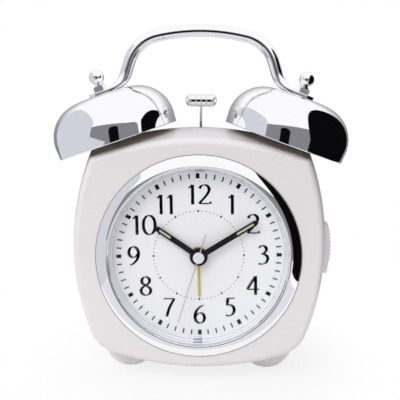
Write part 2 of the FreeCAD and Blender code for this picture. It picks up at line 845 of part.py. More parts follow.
def face_pieces():
    """The bezel, the glass, the flange behind it and the dial."""
    bore = size.lens_radius + size.fit
    lip_back = size.bezel_front - size.bezel_lip
    bezel = turned("bezel_ring", [
        (bore, size.dial_front),
        (size.spigot_radius, size.dial_front),
        (size.spigot_radius, size.case_front),
        (size.bezel_radius, size.case_front),
        (size.bezel_lip_radius + 1.0, size.bezel_front, size.bezel_bulge),
        (size.bezel_lip_radius, size.bezel_front),
        (size.bezel_lip_radius, lip_back),
        (bore, lip_back),
    ])
    place(bezel)
    node("bezel_ring", bezel)

    flange_top = lip_back - size.lens_thickness
    lens = disc_body("lens", size.lens_radius, flange_top, lip_back)
    place(lens)
    node("lens", lens)

    flange = turned("dial_flange", [
        (size.flange_inner_radius, size.dial_front),
        (size.lens_radius, size.dial_front),
        (size.lens_radius, flange_top),
        (size.bezel_lip_radius - 0.2, flange_top),
        (size.flange_inner_radius, size.dial_front + size.flange_slope),
    ])
    pockets = sketch_in(flange, "lamp_pockets", "XY_Plane", size.dial_front)
    for side in (-1, 1):
        outline(pockets, rectangle(0, side * size.lamp_up, size.lamp_half, size.lamp_half))
    pocket(flange, pockets, size.lamp_height, "lamp_pocket_cut", forward=True)
    place(flange)
    node("dial_flange", flange)

    dial = ring("dial_plate", size.alarm_tube_radius + size.clearance, size.dial_radius,
                dial_back, size.dial_front)
    place(dial)
    node("dial_plate", dial)

    half = size.lamp_half - size.fit
    lamps = []
    for i, side in enumerate((-1, 1)):
        low = (-half, side * size.lamp_up - half, size.dial_front)
        high = (half, side * size.lamp_up + half, size.dial_front + size.lamp_height - size.fit)
        lamps.append(box(f"dial_lamp_{i}", low, high))
    group("dial_lamps", lamps)


def bells():
    skin = size.bell_wall
    hole = size.stud_radius + size.fit
    shoulder_up = size.bell_height - size.bell_shoulder
    shoulder_x = size.bell_radius - size.bell_shoulder
    rim = size.bell_radius - size.bell_rim_taper
    under = size.bell_height - skin
    nut_top = size.bell_height + size.strap_thickness + size.nut_height
    neck_end = size.ball_height - root(size.ball_radius * size.ball_radius
                                       - size.neck_radius * size.neck_radius)
    foot = size.nut_flats / 2 - 0.5
    for side, word in ((-1, "left"), (1, "right")):
        bell = turned(f"{word}_bell", [
            (rim - skin, 0),
            (rim, 0),
            (size.bell_radius, shoulder_up),
            (shoulder_x, size.bell_height, size.bell_shoulder),
            (hole, size.bell_height),
            (hole, under),
            (shoulder_x, under),
            (size.bell_radius - skin, shoulder_up, skin - size.bell_shoulder),
        ])
        place_on_bell(bell, side)
        node(f"{word}_bell", bell)

        post = turned(f"{word}_bell_post", [
            (hole, size.boss_top),
            (size.sleeve_radius, size.boss_top),
            (size.sleeve_radius, under - size.collar_height),
            (size.collar_radius, under - size.collar_height),
            (size.collar_radius, under),
            (hole, under),
        ])
        place_on_bell(post, side)
        node(f"{word}_bell_post", post)

        finial = turned(f"{word}_finial", [
            (0, -stud_end),
            (size.stud_radius, -stud_end),
            (size.stud_radius, nut_top),
            (foot, nut_top),
            (foot, nut_top + 0.7),
            (size.neck_radius, nut_top + 0.7),
            (size.neck_radius, neck_end),
            (0, size.ball_height + size.ball_radius, size.ball_radius),
        ])
        place_on_bell(finial, side)
        node(f"{word}_finial", finial)

    nuts = []
    for name, low in (("bell_nut", size.bell_height + size.strap_thickness),
                      ("post_nut", -size.boss_bottom - size.nut_height)):
        for side, word in ((-1, "left"), (1, "right")):
            nut = hexagon_nut(f"{word}_{name}", low)
            place_on_bell(nut, side)
            nuts.append(nut)
    group("bell_nuts", nuts)


def hexagon_nut(name, low):
    """A hexagon nut on a bell axis, standing at a height on it."""
    body = new_body(name)
    sketch = sketch_in(body, f"{name}_hexagon", "XY_Plane", low)
    flat = size.nut_flats / 2
    tall = size.nut_flats / root(3.0)
    outline(sketch, [(tall, 0), (tall / 2, flat), (-tall / 2, flat),
                     (-tall, 0), (-tall / 2, -flat), (tall / 2, -flat)])
    circle(sketch, 0, 0, size.stud_radius + size.fit)
    pad(body, sketch, size.nut_height, f"{name}_pad")
    return body


def row_point(x, up, y=0.0):
    return Vector(x, y, size.dial_height.value + up)


def solid_node(name, shape):
    """A piece whose shape is worked out in code from the sheet."""
    thing = doc.addObject("Part::Feature", f"{name}_shape")
    thing.Shape = shape
    return node(name, thing)


def loop_section(centre, across, deep, half_across, half_deep, corner):
    """A closed rounded section about a centre: four corners and four flats."""
    flat_across, flat_deep = half_across - corner, half_deep - corner
    mid = corner * math.sqrt(0.5)
    corners = []
    for a, b in ((1, 1), (-1, 1), (-1, -1), (1, -1)):
        ends = [(a * half_across, b * flat_deep),
                (a * (flat_across + mid), b * (flat_deep + mid)),
                (a * flat_across, b * half_deep)]
        if a * b < 0:
            ends.reverse()
        corners.append([centre + across * u + deep * v for u, v in ends])
    edges = []
    for i in range(4):
        edges.append(Part.Arc(*corners[i]).toShape())
        edges.append(Part.makeLine(corners[i][2], corners[(i + 1) % 4][0]))
    return Part.Wire(edges)


def arc_about(centre, start, end):
    """The short arc from start to end about a centre."""
    radius = (start - centre).Length
    middle = centre + ((start + end) / 2 - centre).normalize() * radius
    return Part.Arc(start, middle, end).toShape()


def handle_side(side):
    """Half of the handle: bar, flattened end, strap, and its stud hole."""
    lean = math.radians(size.bell_tilt.value)
    flare = math.radians(size.leg_flare.value)
    bar = size.handle_radius.value
    bend = size.bend_radius.value
    depth = Vector(0, 1, 0)
    axis = Vector(side * math.sin(lean), 0, math.cos(lean))
    out = Vector(side * math.cos(lean), 0, -math.sin(lean))
    seat = size.bell_height.value + size.strap_thickness.value / 2
    rest = size.bell_height.value + bar + size.fit.value
    rim_centre = row_point(side * size.bell_offset.value, size.bell_up.value)
    on_axis = rim_centre + axis * seat

    corner = rim_centre + axis * rest - out * size.strap_bend.value
    up_leg = Vector(-side * math.sin(flare), 0, math.cos(flare))
    inward = Vector(-side * math.cos(flare), 0, -math.sin(flare))
    interior = math.acos(up_leg.dot(out))
    set_back = bend / math.tan(interior / 2)
    bend_low = corner + out * set_back
    bend_high = corner + up_leg * set_back
    bend_centre = bend_high - inward * bend

    crown = row_point(0, size.crown_up.value - size.crown_radius.value)
    reach = size.crown_radius.value - size.shoulder_radius.value
    level = (size.shoulder_radius.value + (bend_high - crown).dot(inward)) / reach
    theta = math.asin(-level) - flare
    shoulder = crown + Vector(side * math.sin(theta), 0, math.cos(theta)) * reach
    leg_top = shoulder - inward * size.shoulder_radius.value
    crown_end = crown + (shoulder - crown).normalize() * size.crown_radius.value
    top = crown + Vector(0, 0, size.crown_radius.value)
    path = Part.Wire([
        arc_about(bend_centre, bend_low, bend_high),
        Part.makeLine(bend_high, leg_top),
        arc_about(shoulder, leg_top, crown_end),
        arc_about(crown, crown_end, top),
    ])
    start = Part.Wire([Part.makeCircle(bar, bend_low, out)])
    tube = path.makePipeShell([start], True, False)

    thin, wide = size.strap_thickness.value / 2, size.strap_width.value / 2
    flat_at = bend_low + out * size.flatten_length.value + axis * (seat - rest)
    nearly = bar * 0.998
    swage = Part.makeLoft([
        loop_section(bend_low, axis, depth, bar, bar, nearly),
        loop_section(flat_at, axis, depth, thin, wide, thin * 0.9),
    ], True, True)
    strap_run = (on_axis - flat_at).dot(out)
    strap = Part.Face(loop_section(flat_at, axis, depth, thin, wide, thin * 0.9))
    strap = strap.extrude(out * (strap_run + size.strap_end.value))
    reach_out = size.strap_end.value - size.strap_width.value / 2
    rounded = Part.makeCylinder(wide, 2 * thin, on_axis + out * reach_out - axis * thin, axis)
    square = Part.makeBox(2 * wide, 2 * wide, 2 * thin)
    square.Placement = Placement(Vector(), Rotation(out, depth, axis, "ZYX"))
    start_corner = on_axis + out * reach_out - depth * wide - axis * thin
    square.Placement = Placement(start_corner, square.Placement.Rotation)
    strap = strap.cut(square.cut(rounded))
    hole = Part.makeCylinder(size.stud_radius.value + size.fit.value, 10.0,
                             on_axis - axis * 5.0, axis)
    return [tube, swage, strap], hole


def handle():
    """A bent bar with flattened ends that lie on the bells."""
    left, left_hole = handle_side(-1)
    right, right_hole = handle_side(1)
    bar = left[0].fuse(left[1:] + right)
    return solid_node("handle", bar.cut([left_hole, right_hole]))


def dial_node(name, shape, x=0.0, up=0.0):
    """A piece worked out in the dial frame, standing on one of its arbors."""
    thing = solid_node(name, shape)
    place(thing, x, up)
    return thing


def tube(radius, low, high, bore=0.0):
    bar = Part.makeCylinder(radius, high - low, Vector(0, 0, low))
    if bore:
        bar = bar.cut(Part.makeCylinder(bore, high - low, Vector(0, 0, low)))
    return bar


def toothed(teeth, module, low, phase):
    """A toothed disc, one tooth pointing along phase (degrees)."""
    radius = teeth * module / 2
    pitch = 2 * math.pi / teeth
    flank = [(-1.05, 0.29), (0.0, 0.2), (0.75, 0.1), (0.75, -0.1), (0.0, -0.2), (-1.05, -0.29)]
    points = []
    for tooth in range(teeth):
        for rise, share in flank:
            reach = radius + rise * module
            angle = math.radians(phase) + (tooth - share * radius / reach) * pitch
            points.append(Vector(reach * math.cos(angle), reach * math.sin(angle), low))
    face = Part.Face(Part.makePolygon(points + points[:1]))
    return face.extrude(Vector(0, 0, size.wheel_thickness.value))


def plane(level):
    """The back of one wheel plane, counted back from the front wall."""
    front = dial_back.value - size.housing_wall.value - size.plane_gap.value
    return front - level * size.plane_pitch.value - size.wheel_thickness.value


def facing(angle, teeth):
    """Phase that turns a gap towards a wheel standing at this angle."""
    return angle + 180.0 / teeth


WHEELS = {
    "alarm_wheel": 40,
    "alarm_pinion": 20,
    "hour_wheel": 40,
    "change_pinion": 10,
    "cannon_pinion": 12,
    "change_wheel": 36,
    "centre_wheel": 64,
    "third_pinion": 8,
    "third_wheel": 60,
    "second_pinion": 8,
    "second_wheel": 40,
    "step_pinion": 8,
    "step_wheel": 48,
    "rotor_pinion": 8,
}


def module_of(distance, first, second):
    return 2 * distance.value / (WHEELS[first] + WHEELS[second])


bridge_front = plane(4) - size.bridge_gap.value
bridge_back = bridge_front - size.bridge_thickness.value
back_plane = bridge_back - size.plane_gap.value - size.wheel_thickness.value
step_plane = back_plane - size.plane_pitch.value
housing_back = dial_back.value - size.housing_depth.value
pivot_depth = size.pivot_depth.value
fit = size.fit.value


def going_train():
    """The wheels from the motor to the hands, each with its arbor."""
    thick = size.wheel_thickness.value
    arbor = size.arbor_radius.value
    motion = size.motion_angle.value
    alarm = size.alarm_angle.value
    third = size.third_angle.value
    step = size.step_angle.value
    rotor = size.rotor_angle.value
    second_r, minute_r = size.second_shaft_radius.value, size.minute_tube_radius.value
    hour_r, alarm_r = size.hour_tube_radius.value, size.alarm_tube_radius.value

    module = module_of(size.alarm_distance, "alarm_wheel", "alarm_pinion")
    wheel = toothed(40, module, plane(0), alarm)
    wheel = wheel.fuse(tube(alarm_r, plane(0), size.alarm_hand_front.value + hand_thick))
    dial_node("alarm_wheel", wheel.cut(tube(hour_r + fit, 0, 40)))
    pinion = toothed(20, module, plane(0), facing(alarm + 180, 20))
    dial_node("alarm_pinion", pinion.cut(tube(size.setting_shaft_radius.value, 0, 40)),
              *alarm_place)

    module = module_of(size.motion_distance, "hour_wheel", "change_pinion")
    wheel = toothed(40, module, plane(1), motion)
    wheel = wheel.fuse(tube(hour_r, plane(1), size.hour_hand_front.value + hand_thick))
    dial_node("hour_wheel", wheel.cut(tube(minute_r + fit, 0, 40)))
    small = toothed(10, module, plane(1), facing(motion + 180, 10))
    module = module_of(size.motion_distance, "cannon_pinion", "change_wheel")
    large = toothed(36, module, plane(2), facing(motion + 180, 36))
    hub = tube(size.setting_shaft_radius.value + 1.0, plane(2), plane(1) + thick)
    change = large.fuse([small, hub]).cut(tube(size.setting_shaft_radius.value, 0, 40))
    dial_node("change_wheel", change, *motion_place)
    cannon = toothed(12, module, plane(2), motion)
    cannon = cannon.fuse(tube(minute_r, plane(3), size.minute_hand_front.value + hand_thick))
    dial_node("cannon_pinion", cannon.cut(tube(second_r + fit, 0, 40)))

    module = module_of(size.third_distance, "centre_wheel", "third_pinion")
    wheel = toothed(64, module, plane(3), third)
    dial_node("centre_wheel", wheel.cut(tube(minute_r + fit, 0, 40)))
    small = toothed(8, module, plane(3), facing(third + 180, 8))
    module = module_of(size.third_distance, "third_wheel", "second_pinion")
    large = toothed(60, module, plane(4), third + 180)
    stem = tube(arbor, bridge_front - pivot_depth, dial_back.value - size.housing_wall.value
                + pivot_depth)
    dial_node("third_wheel", large.fuse([small, stem]), *third_place)
    small = toothed(8, module, plane(4), facing(third, 8))
    module = module_of(size.step_distance, "second_wheel", "step_pinion")
    large = toothed(40, module, back_plane, step)
    stem = tube(second_r, housing_back + size.housing_wall.value - pivot_depth,
                size.cap_front.value - 0.4)
    dial_node("second_wheel", large.fuse([small, stem]))

    small = toothed(8, module, back_plane, facing(step + 180, 8))
    module = module_of(size.rotor_distance, "step_wheel", "rotor_pinion")
    large = toothed(48, module, step_plane, rotor)
    stem = tube(arbor, housing_back + size.housing_wall.value - pivot_depth,
                bridge_back + pivot_depth)
    dial_node("step_wheel", large.fuse([small, stem]), *step_place)
    small = toothed(8, module, step_plane, facing(rotor + 180, 8))
    magnet = tube(size.rotor_radius.value, stator_back - 0.4, step_plane - 0.3)
    dial_node("motor_rotor", small.fuse([magnet, stem]), *rotor_place)


hand_thick = size.hand_thickness.value
stator_back = housing_back + size.housing_wall.value + 0.7


def housing_box(low, high, hollow_low, hollow_high):
    """A square tray of the movement housing, hollow between two depths."""
    half, skin = size.housing_half.value, size.housing_wall.value
    outer = Part.makeBox(2 * half, 2 * half, high - low, Vector(-half, -half, low))
    upright = [e for e in outer.Edges if abs(e.Vertexes[0].Z - e.Vertexes[1].Z) > 1e-6]
    outer = outer.makeFillet(size.housing_corner.value, upright)
    inner_half = half - skin
    inner = Part.makeBox(2 * inner_half, 2 * inner_half, hollow_high - hollow_low,
                         Vector(-inner_half, -inner_half, hollow_low))
    return outer.cut(inner)


def hole_at(where, radius, low, high):
    return Part.makeCylinder(radius, high - low, Vector(where[0].value, where[1].value, low))


def movement_housing():
    front, skin = dial_back.value, size.housing_wall.value
    shaft = size.setting_shaft_radius.value + fit
    thin = size.arbor_radius.value + fit
    tray = housing_box(bridge_front, front, bridge_front, front - skin)
    ear_low = front - skin
    ear_arm = (size.ear_up.value - size.housing_half.value) * math.sqrt(2.0) + 3.0
    for x, up in ear_holes():
        centre = Vector(x.value, up.value, ear_low)
        ear = Part.makeCylinder(size.screw_boss_radius.value, skin, centre)
        arm = Part.makeBox(ear_arm, 5, skin, Vector(0, -2.5, ear_low))
        turn = math.degrees(math.atan2(-up.value, -x.value))
        arm.Placement = Placement(Vector(x.value, up.value, 0), Rotation(Vector(0, 0, 1), turn))
        tray = tray.fuse([ear, arm])
    holes = [Part.makeCylinder(size.alarm_tube_radius.value + fit, 2 * skin,
                               Vector(0, 0, front - 1.5 * skin))]
    holes += [hole_at(p, size.screw_radius.value + fit, ear_low - 1, front + 1)
              for p in ear_holes()]
    holes += [hole_at(p, shaft, ear_low - 1, ear_low + pivot_depth + fit)
              for p in (motion_place, alarm_place)]
    holes.append(hole_at(third_place, thin, ear_low - 1, ear_low + pivot_depth + fit))
    dial_node("movement_front", tray.cut(holes))

    half = size.housing_half.value
    bridge = Part.makeBox(2 * half, 2 * half, bridge_front - bridge_back,
                          Vector(-half, -half, bridge_back))
    holes = [hole_at((zero, zero), size.second_shaft_radius.value + fit, bridge_back - 1,
                     bridge_front + 1)]
    holes += [hole_at(p, shaft, bridge_back - 1, bridge_front + 1)
              for p in (motion_place, alarm_place)]
    holes.append(hole_at(third_place, thin, bridge_front - pivot_depth - fit, bridge_front + 1))
    holes += [hole_at(p, thin, bridge_back - 1, bridge_back + pivot_depth + fit)
              for p in (step_place, rotor_place)]
    dial_node("train_bridge", bridge.cut(holes))

    floor = housing_back + skin
    tray = housing_box(housing_back, bridge_back, floor, bridge_back)
    posts = [hole_at(p, 2.0, floor - 0.2, board_back) for p in board_posts]
    tray = tray.fuse(posts)
    holes = [hole_at(p, shaft, housing_back - 1, floor + 1) for p in (motion_place, alarm_place)]
    holes.append(hole_at((zero, zero), size.second_shaft_radius.value + fit,
                         floor - pivot_depth - fit, floor + 1))
    holes += [hole_at(p, thin, floor - pivot_depth - fit, floor + 1)
              for p in (step_place, rotor_place)]
    dial_node("movement_back", tray.cut(holes))


board_posts = [(Size(-20.0, "-20"), Size(21.0, "21")), (Size(20.0, "20"), Size(21.0, "21"))]
board_back = housing_back + size.housing_wall.value + 1.2


def movement_electrics():
    """Circuit board, crystal, and the stepping motor's stator and coil."""
    board = Part.makeBox(48, 9, 1.0, Vector(-24, 16.5, board_back))
    can = Part.makeCylinder(1.5, 6.0, Vector(-3, 20, board_back + 2.5), Vector(1, 0, 0))
    can = can.fuse(Part.makeCylinder(1.6, 0.6, Vector(3, 20, board_back + 2.5), Vector(1, 0, 0)))
    dial_node("circuit_board", Part.makeCompound([board, can]))

    rx, ry = rotor_place[0].value, rotor_place[1].value
    low, thick = stator_back, size.stator_thickness.value
    plate = Part.makeBox(18.0, 20.5, thick, Vector(rx - 9.0, -24.5, low))
    window = Part.makeCylinder(size.rotor_radius.value + 0.5, thick, Vector(rx, ry, low))
    gap = Part.makeBox(8.4, 5.2, thick, Vector(rx - 4.2, -23.4, low))
    plate = plate.cut([window, gap])
    dial_node("motor_stator", plate)
    coil_up, coil_r = -20.8, 2.4
    centre = low + thick + 1.2
    core = Part.makeBox(16.0, 1.6, 1.6, Vector(rx - 8.0, coil_up - 0.8, low + thick))
    coil = Part.makeCylinder(coil_r, 8.0, Vector(rx - 4.0, coil_up, centre),
                             Vector(1, 0, 0))
    dial_node("motor_coil", coil.fuse(core))


def hand(name, turn, front, thickness, hub, bore, bar):
    """A hand with its hub round the arbor, its bar drawn pointing up."""
    body = new_body(name)
    disc = sketch_in(body, f"{name}_hub_circle", "XY_Plane", front)
    circle(disc, 0, 0, hub)
    pad(body, disc, thickness, f"{name}_hub")
    blade = sketch_in(body, f"{name}_blade", "XY_Plane", front)
    outline(blade, bar)
    pad(body, blade, thickness, f"{name}_bar")
    if bore is not None:
        hole = sketch_in(body, f"{name}_bore_circle", "XY_Plane", front + thickness)
        circle(hole, 0, 0, bore)
        pocket(body, hole, thickness, f"{name}_bore")
    place(body, turn=DIAL_TURN * Rotation(Vector(0, 0, 1), -turn.value))
    return body


def baton(length, width):
    half = width / 2
    return [(-half, 0), (half, 0), (half, length - half), (half / 2, length),
            (-half / 2, length), (-half, length - half)]


def lume_bar(length, lume):
    return rectangle(0, length - size.lume_end - lume / 2, size.lume_width / 2, lume / 2)


def hands():
    for name, turn, front, length, lume, radius in (
            ("minute", size.minute_hand_turn, size.minute_hand_front,
             size.minute_hand_length, size.minute_lume_length, size.minute_tube_radius),
            ("hour", size.hour_hand_turn, size.hour_hand_front,
             size.hour_hand_length, size.hour_lume_length, size.hour_tube_radius)):
        body = hand(f"{name}_hand", turn, front, size.hand_thickness, size.hand_hub_radius,
                    radius, baton(length, size.hand_width))
        well = sketch_in(body, f"{name}_well_outline", "XY_Plane", front + size.hand_thickness)
        outline(well, lume_bar(length, lume))
        pocket(body, well, size.lume_depth, f"{name}_well")
        node(f"{name}_hand", body)

        insert = new_body(f"{name}_lume")
        slab = sketch_in(insert, f"{name}_lume_outline", "XY_Plane",
                         front + size.hand_thickness - size.lume_depth)
        outline(slab, lume_bar(length, lume))
        pad(insert, slab, size.lume_depth, f"{name}_lume_slab")
        place(insert, turn=DIAL_TURN * Rotation(Vector(0, 0, 1), -turn.value))
        node(f"{name}_lume", insert)

    thin = size.second_hand_width / 2
    needle = [(-thin, -size.second_hand_tail), (thin, -size.second_hand_tail),
              (thin, size.second_hand_length), (-thin, size.second_hand_length)]
    body = hand("second_hand", size.second_hand_turn, size.second_hand_front,
                size.second_hand_thickness, size.second_hub_radius,
                size.second_shaft_radius, needle)
    node("second_hand", body)

    thin = size.alarm_hand_width / 2
    needle = [(-thin, 0), (thin, 0), (thin, size.alarm_hand_length),
              (-thin, size.alarm_hand_length)]
    body = hand("alarm_hand", size.alarm_hand_turn, size.alarm_hand_front,
                size.alarm_hand_thickness, size.hand_hub_radius + 0.15,
                size.alarm_tube_radius, needle)
    node("alarm_hand", body)

    low = size.second_hand_front + size.second_hand_thickness
    shaft_end = size.cap_front - 0.4
    cap = turned("hand_cap", [
        (size.second_shaft_radius, low),
        (size.cap_radius, low),
        (size.cap_radius, size.cap_front - 0.3),
        (size.cap_radius - 0.3, size.cap_front, 0.3),
        (0, size.cap_front),
        (0, shaft_end),
        (size.second_shaft_radius, shaft_end),
    ])
    place(cap)
    node("hand_cap", cap)


def setting_knobs():
    """The two winders on the back: hands and alarm time."""
    low = size.case_back + size.clearance
    for name, where in (("time_set_knob", motion_place), ("alarm_set_knob", alarm_place)):
        body = turned(name, [
            (0, -low - size.knob_height),
            (size.knob_radius - 0.8, -low - size.knob_height),
            (size.knob_radius, -low - size.knob_height + 0.8, 0.8),
            (size.knob_radius, -low),
            (size.setting_shaft_radius, -low),
            (size.setting_shaft_radius, dial_back - size.housing_wall + size.pivot_depth),
            (0, dial_back - size.housing_wall + size.pivot_depth),
        ])
        notch = sketch_in(body, f"{name}_notch_circle", "XY_Plane", -low)
        circle(notch, size.knob_radius + 0.4, 0, 0.9)
        cut_away = pocket(body, notch, size.knob_height, f"{name}_notch")
        flutes = body.newObject("PartDesign::PolarPattern", f"{name}_flutes")
        flutes.Originals = [cut_away]
        flutes.Axis = (notch, ["N_Axis"])
        flutes.Angle = 360
        flutes.Occurrences = 12
        body.Tip = flutes
        place(body, *where)
        node(name, body)


def striker():
    """The bell striker: a sprung hammer rocked by an electromagnet."""
    up = size.pivot_up
    tall = size.hammer_up - size.pivot_up
    half = size.hammer_length / 2
    block = (size.hammer_length - 2 * size.hammer_dome) / 4
    edge = size.groove_width / 2
    r, g = size.hammer_radius, size.hammer_groove
    head = new_body("hammer_head")
    section = sketch_in(head, "hammer_head_section", "XZ_Plane")
    corners = [(size.hammer_dome - half, r, -size.hammer_dome_radius)]
    for i in (-1, 0, 1):
        corners += [(i * block - edge, r), (i * block - edge, r - g),
                    (i * block + edge, r - g), (i * block + edge, r)]
    corners += [(half - size.hammer_dome, r), (half, size.hammer_tip, -size.hammer_dome_radius)]
    corners += [(half, 0), (-half, 0), (-half, size.hammer_tip)]
    outline(section, corners)
    revolve(head, section, "hammer_head_turned", "H_Axis")
    socket = sketch_in(head, "rod_socket_circle", "XY_Plane", -size.hammer_radius - 1.0)
    circle(socket, 0, 0, size.rod_radius)
    pocket(head, socket, size.hammer_radius + 2.0, "rod_socket", forward=True)
    place(head, 0.0, size.hammer_up, 0.0, UPRIGHT)
    node("hammer_head", head)

    wire = doc.addObject("Part::Cylinder", "hammer_rod_wire")
    bind(wire, "Radius", size.rod_radius)
    bind(wire, "Height", tall + 1.0 - size.rod_start)
    place(wire, 0.0, up + size.rod_start, 0.0, UPRIGHT)
    node("hammer_rod", wire)

    arm = new_body("hammer_arm")
    side = sketch_in(arm, "hammer_arm_side", "XZ_Plane", -size.hub_back)
    circle(side, 0, 0, size.hub_radius)
    pad(arm, side, size.hub_back + size.hub_front, "hammer_hub")
    foot = sketch_in(arm, "hammer_foot_side", "XZ_Plane", -size.hub_back)
    outline(foot, rectangle(0, -size.hub_radius, size.armature_width / 2, size.armature_seat))
    pad(arm, foot, size.hub_back + size.hub_back, "hammer_foot")
    bore = sketch_in(arm, "hammer_bore_side", "XZ_Plane", size.hub_front)
    circle(bore, 0, 0, size.pivot_radius + size.fit)
    pocket(arm, bore, size.hub_front + size.hub_back, "hammer_bore")
    hole = sketch_in(arm, "rod_hole_circle", "XY_Plane", size.hub_radius + 1.0)
    circle(hole, 0, 0, size.rod_radius)
    pocket(arm, hole, size.hub_radius + 1.0 - size.rod_start, "rod_hole")
    place(arm, 0.0, up, 0.0, UPRIGHT)
    node("hammer_arm", arm)

    magnet_top = -size.hub_radius - size.armature_seat
    magnet = doc.addObject("Part::Box", "armature_block")
    bind(magnet, "Length", size.armature_width)
    bind(magnet, "Width", size.armature_length)
    bind(magnet, "Height", size.armature_height)
    place(magnet, -size.armature_width / 2, up + magnet_top - size.armature_height,
          size.armature_length / 2, UPRIGHT)
    node("armature_magnet", magnet)

    pin = doc.addObject("Part::Cylinder", "pivot_pin_bar")
    bind(pin, "Radius", size.pivot_radius)
    bind(pin, "Height", 2 * (size.ear_depth + size.plate_gauge))
    place(pin, 0.0, up, -size.ear_depth - size.plate_gauge)
    node("pivot_pin", pin)

    spring = ring("hammer_spring", size.pivot_radius + size.clearance, size.spring_radius,
                  -size.ear_depth + size.clearance, -size.hub_back - size.clearance)
    place(spring, 0.0, up)
    node("hammer_spring", spring)

    floor = size.bracket_floor_up
    top = floor + size.plate_gauge
    yoke_mid = up + magnet_top - size.armature_height / 2
    pieces = [box("bracket_floor", (-size.bracket_half_width, floor, -size.bracket_back),
                  (size.bracket_half_width, top, size.ear_depth + size.plate_gauge))]
    for word, low in (("front", size.ear_depth), ("rear", -size.ear_depth - size.plate_gauge)):
        pieces.append(box(f"bracket_{word}_ear", (-size.hub_radius, top, low),
                          (size.hub_radius, up + size.hub_radius, low + size.plate_gauge)))
    plate = fused("bracket_plate", pieces)
    drills = [rod("ear_hole", size.pivot_radius, 0.0, up, -size.ear_depth - 2.0,
                  size.ear_depth + 2.0)]
    for side_of in (-1, 1):
        drill = doc.addObject("Part::Cylinder", "bracket_hole")
        bind(drill, "Radius", size.screw_radius + size.fit)
        bind(drill, "Height", 3 * size.plate_gauge)
        place(drill, side_of * size.hanger_x, floor - size.plate_gauge, 0.0, UPRIGHT)
        drills.append(drill)
    node("striker_bracket", cut("bracket_drilled", plate, drills))

    high = size.core_height / 2
    coil_half = size.coil_length / 2
    leg_out = coil_half + size.core_leg
    back = -size.coil_back
    gap = size.armature_width / 2 + size.pole_gap
    pieces = [box("core_bar", (-leg_out, yoke_mid - high, back - high),
                  (leg_out, yoke_mid + high, back + high))]
    for side_of, word in ((-1, "left"), (1, "right")):
        near, far = (-leg_out, -coil_half) if side_of < 0 else (coil_half, leg_out)
        pieces.append(box(f"core_{word}_leg", (near, yoke_mid - high, back),
                          (far, yoke_mid + high, high)))
        near, far = (-leg_out, -gap) if side_of < 0 else (gap, leg_out)
        pieces.append(box(f"core_{word}_pole", (near, yoke_mid - high, -high),
                          (far, yoke_mid + high, high)))
    node("striker_core", fused("core_yoke", pieces))

    winding = ring("coil_winding", size.core_height * 0.75, size.coil_radius,
                   size.bobbin_flange - coil_half, coil_half - size.bobbin_flange)
    winding.Placement = Placement(Vector(), Rotation(Vector(0, 1, 0), 90))
    winding.setExpression("Placement.Base.y", size.coil_back.text)
    winding.setExpression("Placement.Base.z", (size.dial_height + yoke_mid).text)
    cheeks = []
    for side_of in (-1, 1):
        near = -coil_half if side_of < 0 else coil_half - size.bobbin_flange
        cheeks.append(box(f"bobbin_cheek_{len(cheeks)}",
                          (near, top, back - size.coil_radius),
                          (near + size.bobbin_flange, yoke_mid + size.coil_radius,
                           back + size.coil_radius)))
    sleeve = box("bobbin_sleeve", (-coil_half, yoke_mid - high - 0.6, back - high - 0.6),
                 (coil_half, yoke_mid + high + 0.6, back + high + 0.6))
    tunnel = box("bobbin_tunnel", (-coil_half - 1.0, yoke_mid - high, back - high),
                 (coil_half + 1.0, yoke_mid + high, back + high))
    bobbin = cut("bobbin_moulding", fused("bobbin_solid", cheeks + [sleeve]), [tunnel])
    group("striker_coil", [bobbin, winding])


def side_button():
    """The light button in the right side, its board, switch and spring."""
    mid, front = size.button_up, size.button_front
    half = size.button_length / 2
    deep = size.button_depth / 2
    inner = size.button_reach - size.button_crown - size.button_body
    body = new_body("light_button")
    key = sketch_in(body, "button_side", "XY_Plane", front - deep)
    shoulder = size.button_reach - size.button_crown
    outline(key, [(inner, mid - half), (shoulder, mid - half),
                  (shoulder, mid + half, size.button_crown_radius), (inner, mid + half)])
    pad(body, key, size.button_depth, "button_key")
    flange = sketch_in(body, "button_flange_side", "XY_Plane", front - deep - size.button_lip)
    outline(flange, rectangle(inner + size.button_lip / 2, mid, size.button_lip / 2,
                              half + size.button_lip))
    pad(body, flange, size.button_depth + 2 * size.button_lip, "button_flange")
    ribs = sketch_in(body, "button_rib_circles", "XY_Plane", front - deep + 1.0)
    for i in (-1.5, -0.5, 0.5, 1.5):
        circle(ribs, size.button_reach - 0.25, mid + i * size.rib_pitch, size.rib_radius)
    pad(body, ribs, size.button_depth - 2.0, "button_ribs")
    bosses = sketch_in(body, "button_boss_circles", "YZ_Plane", inner - size.button_boss)
    circle(bosses, mid, front, size.boss_pin_radius)
    circle(bosses, mid + size.switch_rise, front, size.boss_pin_radius)
    pad(body, bosses, size.button_boss, "button_bosses")
    place(body)
    node("light_button", body)

    board_front = front + size.board_half_depth
    board = box("switch_board_plate",
                (size.board_x - size.board_gauge, mid - size.board_half_height,
                 front - size.board_half_depth),
                (size.board_x, mid + size.board_half_height, board_front))
    touch = inner - size.button_boss - size.button_travel
    cube = box("light_switch_case",
               (size.board_x, mid + size.switch_rise - 3.0, front - 3.0),
               (touch - 1.2, mid + size.switch_rise + 3.0, front + 3.0))
    stem = box("light_switch_stem",
               (touch - 1.2, mid + size.switch_rise - 1.2, front - 1.2),
               (touch - size.fit, mid + size.switch_rise + 1.2, front + 1.2))
    group("switch_board", [board, fused("light_switch", [cube, stem])])
    spring = ring("button_spring", size.boss_pin_radius + size.clearance,
                  size.button_spring_radius, size.board_x + size.fit, inner - size.fit)
    spring.Placement = Placement(Vector(0, -front.value, (size.dial_height + mid).value),
                                 Rotation(Vector(0, 1, 0), 90))
    node("button_spring", spring)


